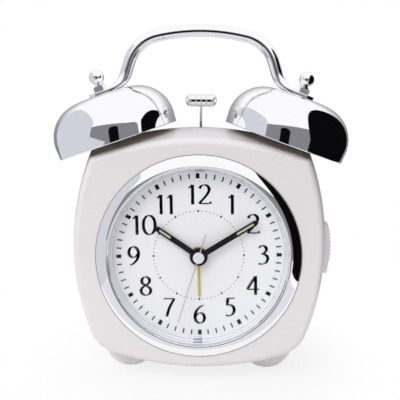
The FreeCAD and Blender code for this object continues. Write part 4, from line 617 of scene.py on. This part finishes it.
def bulge(start, end, radius, count):
    """Arc between two points that swells to the right of the way from the
    first to the second. Its centre lies on the left, off the chord's middle by
    the root of radius squared minus half the chord squared."""
    start, end = np.array(start, float), np.array(end, float)
    chord = end - start
    half = np.linalg.norm(chord) / 2
    left = np.array([-chord[1], chord[0]]) / (2 * half)
    centre = (start + end) / 2 + left * math.sqrt(max(radius ** 2 - half ** 2, 0))
    first = np.arctan2(*(start - centre)[::-1])
    last = np.arctan2(*(end - centre)[::-1])
    if last < first:
        last += 2 * np.pi
    return arc(centre, radius, math.degrees(first), math.degrees(last), count)


edge = BEZEL["edge"]
profile = np.concatenate([
    np.array([[BEZEL["bore"], FRONT["dial"]], [BEZEL["step"], FRONT["dial"]],
              [BEZEL["step"], FRONT["case"]], [BEZEL["radius"] - edge, FRONT["case"]],
              [BEZEL["radius"], FRONT["case"] + edge]]),
    bulge((BEZEL["radius"], FRONT["case"] + 2 * edge), (BEZEL["crest"], FRONT["bezel"]),
          BEZEL["swell"], 24),
    arc((BEZEL["crest"], FRONT["bezel"] - BEZEL["brow"]), BEZEL["brow"], 88, 142, 8),
    np.array([[BEZEL["lip"] + edge, FRONT["glass"]], [BEZEL["bore"], FRONT["glass"]]]),
])
turned = lathe(profile, RING_STEPS)
mesh_piece("bezel_ring_skin", from_dial(turned), grid_faces(len(profile), RING_STEPS, True, True),
           "case", "chrome_trim", ["bezel_ring"])
print("bezel grid:", turned.shape)

# %% [markdown]
# The handle is one steel bar, bent over the clock and chromed. Its ends are
# pressed flat, thinning through the bend, to lie on the bells under the nuts.
# A bevelled curve would keep one section all the way. So the path is made of
# arcs and straight runs in the plane of the bells, and a section is carried
# along it that changes: a circle on the bar that widens and thins to the strap.

# %% Handle
HANDLE = {"bar": 2.85, "bend": 15.0, "setback": 11.5, "flare": 17.5, "shoulder": 18.0,
          "crown": 95.0, "top": 105.0, "thick": 2.3, "wide": 9.0, "end": 6.4, "lift": 0.05}
# SQUARENESS is what the strap's section adds to the power 2 of a round bar, and
# TIP_SHARE is the part of the strap's width that is left flat at its very end.
# RUNS holds the points on each run of the path, BAR_STEPS those round it.
RUNS = {"strap": 48, "bend": 36, "leg": 8, "shoulder": 36, "crown": 30}
BAR_STEPS = 48
SQUARENESS = 5
TIP_SHARE = 0.02


def turn_through(centre, start, end, count):
    """Arc about a centre from start to end, by the short way round."""
    first = math.atan2(*(start - centre)[::-1])
    last = math.atan2(*(end - centre)[::-1])
    swing = (last - first + math.pi) % (2 * math.pi) - math.pi
    return arc(centre, np.linalg.norm(start - centre), math.degrees(first),
               math.degrees(first + swing), count)


def handle_half():
    """Path of the right half, from the strap's end up to the crown, the share
    of flattening at each point, and the share of the strap's width, which
    rounds its end as a half circle does: the root of 1 minus x squared."""
    h = HANDLE
    lean, flare = math.radians(BELL["tilt"]), math.radians(h["flare"])
    axis = np.array([math.sin(lean), math.cos(lean)])
    out = np.array([math.cos(lean), -math.sin(lean)])
    rim = np.array([BELL["offset"], BELL["up"]])
    seat = BELL["height"] + h["thick"] / 2
    rest = BELL["height"] + h["bar"] + h["lift"]
    up_leg = np.array([-math.sin(flare), math.cos(flare)])
    inward = np.array([-math.cos(flare), -math.sin(flare)])
    corner = rim + axis * rest - out * h["setback"]
    corner -= up_leg * (rest - seat) / (up_leg @ axis)
    back = h["bend"] / math.tan(math.acos(up_leg @ out) / 2)
    low, high = corner + out * back, corner + up_leg * back
    bend_centre = high - inward * h["bend"]
    crown = np.array([0, h["top"] - h["crown"]])
    reach = h["crown"] - h["shoulder"]
    theta = math.asin(-(h["shoulder"] + (high - crown) @ inward) / reach) - flare
    shoulder = crown + reach * np.array([math.sin(theta), math.cos(theta)])
    leg_top = shoulder - inward * h["shoulder"]
    crown_end = crown + (shoulder - crown) * h["crown"] / reach
    tip = rim + axis * seat + out * h["end"]
    strap = np.linspace(tip, low, RUNS["strap"])
    bend = turn_through(bend_centre, low, high, RUNS["bend"])[1:]
    bar = np.concatenate([
        np.linspace(high, leg_top, RUNS["leg"])[1:],
        turn_through(shoulder, leg_top, crown_end, RUNS["shoulder"])[1:],
        turn_through(crown, crown_end, np.array([0, h["top"]]), RUNS["crown"])[1:],
    ])
    ease = np.linspace(0, 1, len(bend))
    flatness = np.concatenate([np.ones(len(strap)), 1 - ease ** 2 * (3 - 2 * ease),
                               np.zeros(len(bar))])
    from_tip = np.linalg.norm(strap - tip, axis=1)
    taper = np.ones(len(flatness))
    inside = np.clip(1 - from_tip / (h["wide"] / 2), 0, 1)
    taper[:len(strap)] = np.sqrt(np.clip(1 - inside ** 2, TIP_SHARE ** 2, 1))
    return np.concatenate([strap, bend, bar]), flatness, taper


def sweep(path, side_half, depth_half, power, steps):
    """Superellipse carried along a path in the x-up plane. At angle a it
    reaches sign(cos a)|cos a|^(2/n) across and sign(sin a)|sin a|^(2/n) in
    depth: n is 2 on a round bar and more where it is squared off."""
    along = np.gradient(path, axis=0)
    along /= np.linalg.norm(along, axis=1, keepdims=True)
    across = np.stack([-along[:, 1], along[:, 0]], axis=1)
    a = np.linspace(0, 2 * np.pi, steps, endpoint=False)[None]
    c = np.sign(np.cos(a)) * np.abs(np.cos(a)) ** (2 / power[:, None])
    d = np.sign(np.sin(a)) * np.abs(np.sin(a)) ** (2 / power[:, None])
    flat = path[:, None] + across[:, None] * (c * side_half[:, None])[..., None]
    return np.concatenate([flat, (d * depth_half[:, None])[..., None]], axis=-1)


half, flatness, taper = handle_half()
path = np.concatenate([half, (half * [-1, 1])[::-1][1:]])
flatness = np.concatenate([flatness, flatness[::-1][1:]])
taper = np.concatenate([taper, taper[::-1][1:]])
thin = HANDLE["bar"] + (HANDLE["thick"] / 2 - HANDLE["bar"]) * flatness
wide = (HANDLE["bar"] + (HANDLE["wide"] / 2 - HANDLE["bar"]) * flatness) * taper
bent = sweep(path, thin, wide, 2 + SQUARENESS * flatness, BAR_STEPS)
mesh_piece("handle_bar", from_dial(bent), grid_faces(len(path), BAR_STEPS, wrap_columns=True),
           "case", "chrome_trim", ["handle"], caps=end_caps(len(path), BAR_STEPS))
print("handle path:", len(path), "sections")

# %% [markdown]
# The hammer is a small turned brass slug, chromed, with fine grooves and
# domed ends. It strikes the two bells in turn. Cutting grooves into a cylinder
# would leave sharp edges that catch no light. Here the profile runs through the
# grooves and over softened edges, with a point on each side of an edge to hold
# the flats flat, so every block keeps a clean mirror.

# %% Hammer
HAMMER = {"length": 15.2, "radius": 3.1, "dome": 2.5, "groove": 0.3, "up": 72.1, "soft": 0.12,
          "ring": 0.14, "hold": 0.06, "blocks": 4, "least": 0.01}
SLUG_STEPS = 96


def hammer_profile():
    """Radius against place along the slug, as (radius, place) points: blocks
    with softened edges between two domes, each a quarter of an ellipse. No
    radius and no step is under the least one, so no face is empty."""
    h = HAMMER
    start = h["dome"] - h["length"] / 2
    block = -2 * start / h["blocks"]
    low, high = h["radius"] - h["groove"], h["radius"]
    edge = h["ring"] + h["soft"]
    t = np.linspace(0, np.pi / 2, 10)
    dome = np.stack([high * np.sin(t), start - h["dome"] * np.cos(t)], axis=1)
    dome[0, 0] = h["least"]
    rows = [dome[:-1]]
    for i in range(h["blocks"]):
        a, b = start + i * block, start + (i + 1) * block
        rows.append(np.array([[low, a + h["least"]], [low, a + h["ring"]], [high, a + edge],
                              [high, a + edge + h["hold"]], [high, b - edge - h["hold"]],
                              [high, b - edge], [low, b - h["ring"]]]))
    rows.append(dome[::-1] * [1, -1])
    return np.concatenate(rows)


profile = hammer_profile()
slug = lathe(profile, SLUG_STEPS)
slug = np.stack([slug[..., 2], slug[..., 0] + HAMMER["up"], slug[..., 1]], axis=-1)
mesh_piece("hammer_slug", from_dial(slug), grid_faces(len(profile), SLUG_STEPS, wrap_columns=True),
           "hammer", "chrome_trim", ["hammer_head"], caps=end_caps(len(profile), SLUG_STEPS))
print("hammer grid:", slug.shape)

# %% [markdown]
# The dial's print is one black ink: sixty minute marks, heavier at each fifth,
# a ring of seventy-two dots for setting the alarm, and upright numerals. Text
# objects would need a font file that every machine has. So the numerals follow
# a broad pen: a stroke is thick where it runs across the nib and thin where it
# runs along it, which gives the figures their contrast. The printed dial sits
# turned by a little over a degree in this case.

# %% Ink
INK_FRONT = FRONT["dial"] + 0.03
DIAL_TURN = math.radians(1.4)
MARKS = {"track": 37.6, "length": 2.4, "hour": 1.7, "minute": 0.62}
DOTS = {"track": 21.2, "large": 0.52, "small": 0.25, "count": 72}


def spin(points, angle):
    """Turns points in the dial's plane, anticlockwise by an angle."""
    c, s = np.cos(angle), np.sin(angle)
    x, y = points[..., 0], points[..., 1]
    return np.stack([x * c - y * s, x * s + y * c], axis=-1)


def bars(count, length, width, radius):
    """Rectangles at equal angles with their middles on a circle."""
    one = np.array([[-width, -length], [width, -length], [width, length], [-width, length]]) / 2
    one = one + [0, radius]
    angles = np.arange(count)[:, None] * 2 * np.pi / count
    return spin(one[None], angles)


def dots(count, size, radius, sides=8):
    """Small discs at equal angles, each a polygon with its corners on a circle."""
    t = np.arange(sides) * 2 * np.pi / sides
    one = np.stack([np.cos(t) * size, np.sin(t) * size + radius], axis=1)
    return spin(one[None], np.arange(count)[:, None] * 2 * np.pi / count)


def apart(outlines):
    """Faces of separate outlines: each takes the next few points in turn."""
    return np.arange(outlines[..., 0].size).reshape(outlines.shape[:2])


# Each stroke of a figure is a few points that its curve runs through, as shares
# of the figure's height, from its lower left corner.
STROKES = {
    "0": [[(0.55, 0.5), (0.52, 0.75), (0.42, 0.93), (0.29, 0.985), (0.16, 0.93), (0.06, 0.75),
           (0.03, 0.5), (0.06, 0.25), (0.16, 0.07), (0.29, 0.015), (0.42, 0.07), (0.52, 0.25),
           (0.55, 0.5)]],
    "1": [[(0.02, 0.84), (0.11, 0.90), (0.19, 0.99)], [(0.19, 1.0), (0.19, 0.5), (0.19, 0.0)]],
    "2": [[(0.05, 0.80), (0.12, 0.93), (0.26, 0.985), (0.40, 0.93), (0.47, 0.79), (0.44, 0.62),
           (0.31, 0.40), (0.15, 0.20), (0.02, 0.04)],
          [(0.02, 0.045), (0.28, 0.04), (0.48, 0.045), (0.56, 0.12)]],
    "3": [[(0.06, 0.88), (0.18, 0.975), (0.32, 0.95), (0.40, 0.82), (0.36, 0.67), (0.24, 0.57),
           (0.17, 0.55)],
          [(0.17, 0.55), (0.31, 0.53), (0.43, 0.43), (0.46, 0.28), (0.38, 0.10), (0.21, 0.02),
           (0.04, 0.05)]],
    "4": [[(0.40, 0.98), (0.21, 0.64), (0.03, 0.31)], [(0.02, 0.29), (0.3, 0.29), (0.56, 0.29)],
          [(0.40, 1.0), (0.40, 0.5), (0.40, 0.0)]],
    "5": [[(0.46, 0.96), (0.30, 0.955), (0.15, 0.96)], [(0.15, 0.97), (0.135, 0.78), (0.12, 0.58)],
          [(0.12, 0.58), (0.25, 0.60), (0.38, 0.52), (0.44, 0.34), (0.38, 0.13), (0.23, 0.02),
           (0.05, 0.05)]],
    "6": [[(0.45, 0.98), (0.29, 0.88), (0.13, 0.68), (0.06, 0.42), (0.08, 0.21), (0.17, 0.06),
           (0.30, 0.015), (0.43, 0.10), (0.49, 0.29), (0.44, 0.48), (0.31, 0.56), (0.17, 0.51),
           (0.08, 0.38)]],
    "7": [[(0.03, 0.96), (0.28, 0.955), (0.53, 0.96)],
          [(0.52, 0.96), (0.41, 0.74), (0.27, 0.42), (0.16, 0.0)]],
    "8": [[(0.27, 0.54), (0.14, 0.63), (0.09, 0.78), (0.15, 0.93), (0.27, 0.985), (0.39, 0.93),
           (0.45, 0.79), (0.40, 0.65), (0.27, 0.54), (0.12, 0.42), (0.05, 0.26), (0.11, 0.09),
           (0.27, 0.015), (0.43, 0.09), (0.49, 0.26), (0.42, 0.42), (0.27, 0.54)]],
}
STROKES["9"] = [[(0.55 - x, 1.0 - y) for x, y in STROKES["6"][0]]]
WIDTHS = {"0": 0.58, "1": 0.45, "2": 0.56, "3": 0.50, "4": 0.58, "5": 0.50, "6": 0.54,
          "7": 0.54, "8": 0.54, "9": 0.54}
# A 1 at the end of a number leaves its right side empty, and NARROW_END takes
# that off. BROAD widens all figures, and NIB is the slant of the pen's edge.
NARROW_END = 0.15
BROAD = 1.14
NIB = math.radians(12)
THIN, THICK = 0.05, 0.14


def smooth_path(corners, steps=10):
    """Catmull-Rom curve: between two corners each point is a cubic in t whose
    slopes at the ends are half the chord of the neighbours."""
    p = np.array(corners, float)
    ends = np.concatenate([[2 * p[0] - p[1]], p, [2 * p[-1] - p[-2]]])
    if np.allclose(p[0], p[-1]):
        ends[0], ends[-1] = p[-2], p[1]
    a, b, c, d = ends[:-3, None], ends[1:-2, None], ends[2:-1, None], ends[3:, None]
    t = np.linspace(0, 1, steps, endpoint=False)[None, :, None]
    curve = 0.5 * (2 * b + (c - a) * t + (2 * a - 5 * b + 4 * c - d) * t ** 2
                   + (3 * b - a - 3 * c + d) * t ** 3)
    return np.concatenate([curve.reshape(-1, 2), p[-1:]])


def pen_stroke(corners):
    """A ribbon round the path. Its width goes from THIN to THICK with the sine
    of the angle between the path and the nib."""
    path = smooth_path(corners)
    along = np.gradient(path, axis=0)
    along /= np.linalg.norm(along, axis=1, keepdims=True)
    angle = np.arctan2(along[:, 1], along[:, 0])
    width = THIN + (THICK - THIN) * np.abs(np.sin(angle - NIB))
    side = np.stack([-along[:, 1], along[:, 0]], axis=1) * width[:, None] / 2
    return np.stack([path + side, path - side], axis=1)


# NUMERALS gives each figure's distance from the dial's centre, and SHIFTS moves
# a few of them off their ray, as the printer did.
NUMERAL_HEIGHT = 9.2
NUMERALS = {12: 28.9, 1: 28.9, 2: 29.5, 3: 30.6, 4: 29.4, 5: 29.0, 6: 28.6, 7: 29.0, 8: 29.2,
            9: 30.6, 10: 29.6, 11: 28.6}
SHIFTS = {12: (0.85, 0.0), 11: (-0.9, -0.4), 10: (0.4, 0.0), 1: (1.0, -1.0), 3: (-0.5, 0.0)}
pieces = []
for hour, radius in NUMERALS.items():
    digits = str(hour)
    total = sum(WIDTHS[d] for d in digits) - (NARROW_END if digits[-1] == "1" else 0.0)
    pen_x = -total / 2
    turn = math.radians(30 * hour)
    middle = radius * np.array([math.sin(turn), math.cos(turn)]) + SHIFTS.get(hour, (0, 0))
    for d in digits:
        for corners in STROKES[d]:
            ribbon = pen_stroke(corners) + [pen_x, -0.5]
            pieces.append((ribbon * [NUMERAL_HEIGHT * BROAD, NUMERAL_HEIGHT] + middle,
                           grid_faces(len(ribbon), 2)))
        pen_x += WIDTHS[d]

hours = bars(12, MARKS["length"], MARKS["hour"], MARKS["track"])
minutes = bars(60, MARKS["length"], MARKS["minute"], MARKS["track"])
minutes = np.delete(minutes, np.arange(0, 60, 5), axis=0)
pieces += [(hours, apart(hours)), (minutes, apart(minutes))]
large = dots(12, DOTS["large"], DOTS["track"])
small = dots(DOTS["count"], DOTS["small"], DOTS["track"])
small = np.delete(small, np.arange(0, DOTS["count"], DOTS["count"] // 12), axis=0)


def printed(name, parts):
    """Joins flat parts into one print on the dial, turned with the dial."""
    points, faces, base = [], [], 0
    for outline, face in parts:
        flat = spin(outline.reshape(-1, 2), DIAL_TURN)
        points.append(np.column_stack([flat, np.full(len(flat), INK_FRONT)]))
        faces.append(face.reshape(-1, face.shape[-1]) + base)
        base += len(flat)
    mesh_piece(name, from_dial(np.concatenate(points)), np.concatenate(faces), "case",
               "hand_black", look="ink")
    print(name, "faces:", sum(len(face) for face in faces))


printed("numerals_and_marks", pieces)
printed("alarm_dots_large", [(large, apart(large))])
printed("alarm_dots_small", [(small, apart(small))])

# %% [markdown]
# The ring behind the glass has two fine raised lines, and a ribbed tongue at
# the top and at the bottom, where the mould was fed. The side button has seven
# low ribs for the finger. A bump in the material would show them from the
# front, but not in the outline, so they are shapes: thin hoops, small blocks
# and half round bars, each on the slope or crown that it belongs to.


# %% Ring lines, tongues and button ribs
RING_SLOPE = ((39.8, 23.9), (41.2, 28.3))
LINE = {"shares": (0.25, 0.72), "radius": 0.11, "sides": 8}
TONGUE = {"count": 4, "half": (2.1, 0.3, 0.16), "sunk": 0.25}


def on_slope(share):
    """Radius and front of a point on the ring, a share of the way up its slope."""
    return [a + (b - a) * share for a, b in zip(*RING_SLOPE)]


for i, share in enumerate(LINE["shares"]):
    round_wire = arc(on_slope(share), LINE["radius"], 0, 360 - 360 / LINE["sides"], LINE["sides"])
    hoop = lathe(round_wire, RING_STEPS)
    mesh_piece(f"ring_line_{i + 1}", from_dial(hoop),
               grid_faces(LINE["sides"], RING_STEPS, True, True), "case", "grey_flange",
               look="ring_grey")


def block(middle, half):
    """Eight corners of a box from its middle and half sizes, and its six faces."""
    signs = np.array([[x, y, z] for x in (-1, 1) for y in (-1, 1) for z in (-1, 1)])
    faces = np.array([[0, 1, 3, 2], [4, 6, 7, 5], [0, 4, 5, 1], [2, 3, 7, 6], [0, 2, 6, 4],
                      [1, 5, 7, 3]])
    return np.array(middle) + signs * np.array(half), faces


for side, word in ((1, "upper"), (-1, "lower")):
    for i in range(TONGUE["count"]):
        radius, front = on_slope((i + 0.6) / (TONGUE["count"] + 0.4))
        points, faces = block((0, side * (radius - TONGUE["sunk"]), front), TONGUE["half"])
        mesh_piece(f"{word}_tongue_{i + 1}", from_dial(points), faces, "case", "grey_flange",
                   look="ring_grey" if i % 2 else None)

# The button's face is crowned: at a height u from its middle it stands back by
# u squared over twice the crown's radius.
RIB = {"count": 7, "pitch": 1.95, "middle": 3.6, "depth": 3.6, "front": 3.0, "height": 0.38,
       "crown": 58.0, "sunk": 0.1, "sides": 9}
button_box = [np.array(v) for v in nodes["light_button"].bound_box]
reach = max(v[0] for v in button_box) / MM
for i in range(RIB["count"]):
    up = RIB["middle"] + (i - (RIB["count"] - 1) / 2) * RIB["pitch"]
    face = reach - up ** 2 / (2 * RIB["crown"])
    bar = arc((face - RIB["sunk"], up), RIB["height"] + RIB["sunk"], -90, 90, RIB["sides"])
    ends = np.linspace(-RIB["depth"], RIB["depth"], 3) + RIB["front"]
    points = np.stack([np.column_stack([bar, np.full(len(bar), e)]) for e in ends])
    faces = grid_faces(len(ends), len(bar), wrap_columns=True)
    back = faces[:, -1].tolist()
    mesh_piece(f"button_rib_{i + 1}", from_dial(points), faces[:, :-1], "light_button",
               "clear_plastic", caps=end_caps(len(ends), len(bar)) + back)
print("ribs:", RIB["count"], "on a face at", round(reach, 2), "mm")

# %% [markdown]
# Round the bezel runs a hair-fine gap, brown with shade. A cut slot would be
# narrower than a pixel and come out speckled, so the gap is a flat ring in the
# colour of its shade. On the two hands the glowing strip lies in a trough, and
# the black enamel comes up round it. The strips are solids of their own, so
# their outline is measured and a low frame is laid round it.

# %% Bezel gap
GAP = {"off": 0.02, "width": 0.26, "thick": 0.08}
near, low = BEZEL["radius"] + GAP["off"], FRONT["case"] + GAP["off"]
far, high = near + GAP["width"], low + GAP["thick"]
gap = lathe(np.array([[near, low], [far, low], [far, high], [near, high]]), RING_STEPS)
mesh_piece("bezel_gap", from_dial(gap), grid_faces(4, RING_STEPS, True, True), "case",
           "rubber_pad", look="gap_shade")
print("gap:", round(near, 2), "to", round(far, 2), "mm")


# %% The hands' troughs
TROUGH = {"side": 0.2, "end": 0.5, "lap": 0.08, "proud": 0.06, "deep": 0.1}


def measured(name):
    """Frame of a hand's strip, seen on the dial: its direction, the one across,
    its ends along the first, its half width and its front."""
    solid = nodes[name].data
    corners = np.empty(len(solid.vertices) * 3)
    solid.vertices.foreach_get("co", corners)
    corners = corners.reshape(-1, 3) / MM
    flat = np.stack([corners[:, 0], corners[:, 2] - DIAL_UP], axis=1)
    along = flat.mean(axis=0) / np.linalg.norm(flat.mean(axis=0))
    across = np.array([-along[1], along[0]])
    ends = (flat @ along).min(), (flat @ along).max()
    return along, across, ends, np.abs(flat @ across).max(), -corners[:, 1].min()


for name, body in (("hour_lume", "hour"), ("minute_lume", "minute")):
    along, across, (near, far), half, front = measured(name)
    outer, inner = (TROUGH["lap"], TROUGH["lap"]), (-TROUGH["end"], -TROUGH["side"])
    rings = []
    for (end, side), drop in ((outer, TROUGH["deep"]), (outer, 0), (inner, 0),
                              (inner, TROUGH["deep"])):
        edge = oblong(near - end, far + end, -half - side, half + side)
        place = edge[:, :1] * along + edge[:, 1:] * across
        rings.append(np.column_stack([place, np.full(4, front + TROUGH["proud"] - drop)]))
    mesh_piece(name.replace("lume", "trough"), from_dial(np.array(rings)),
               grid_faces(4, 4, True, True), body, "hand_black")
    print(name, "length", round(float(far - near), 2), "mm")
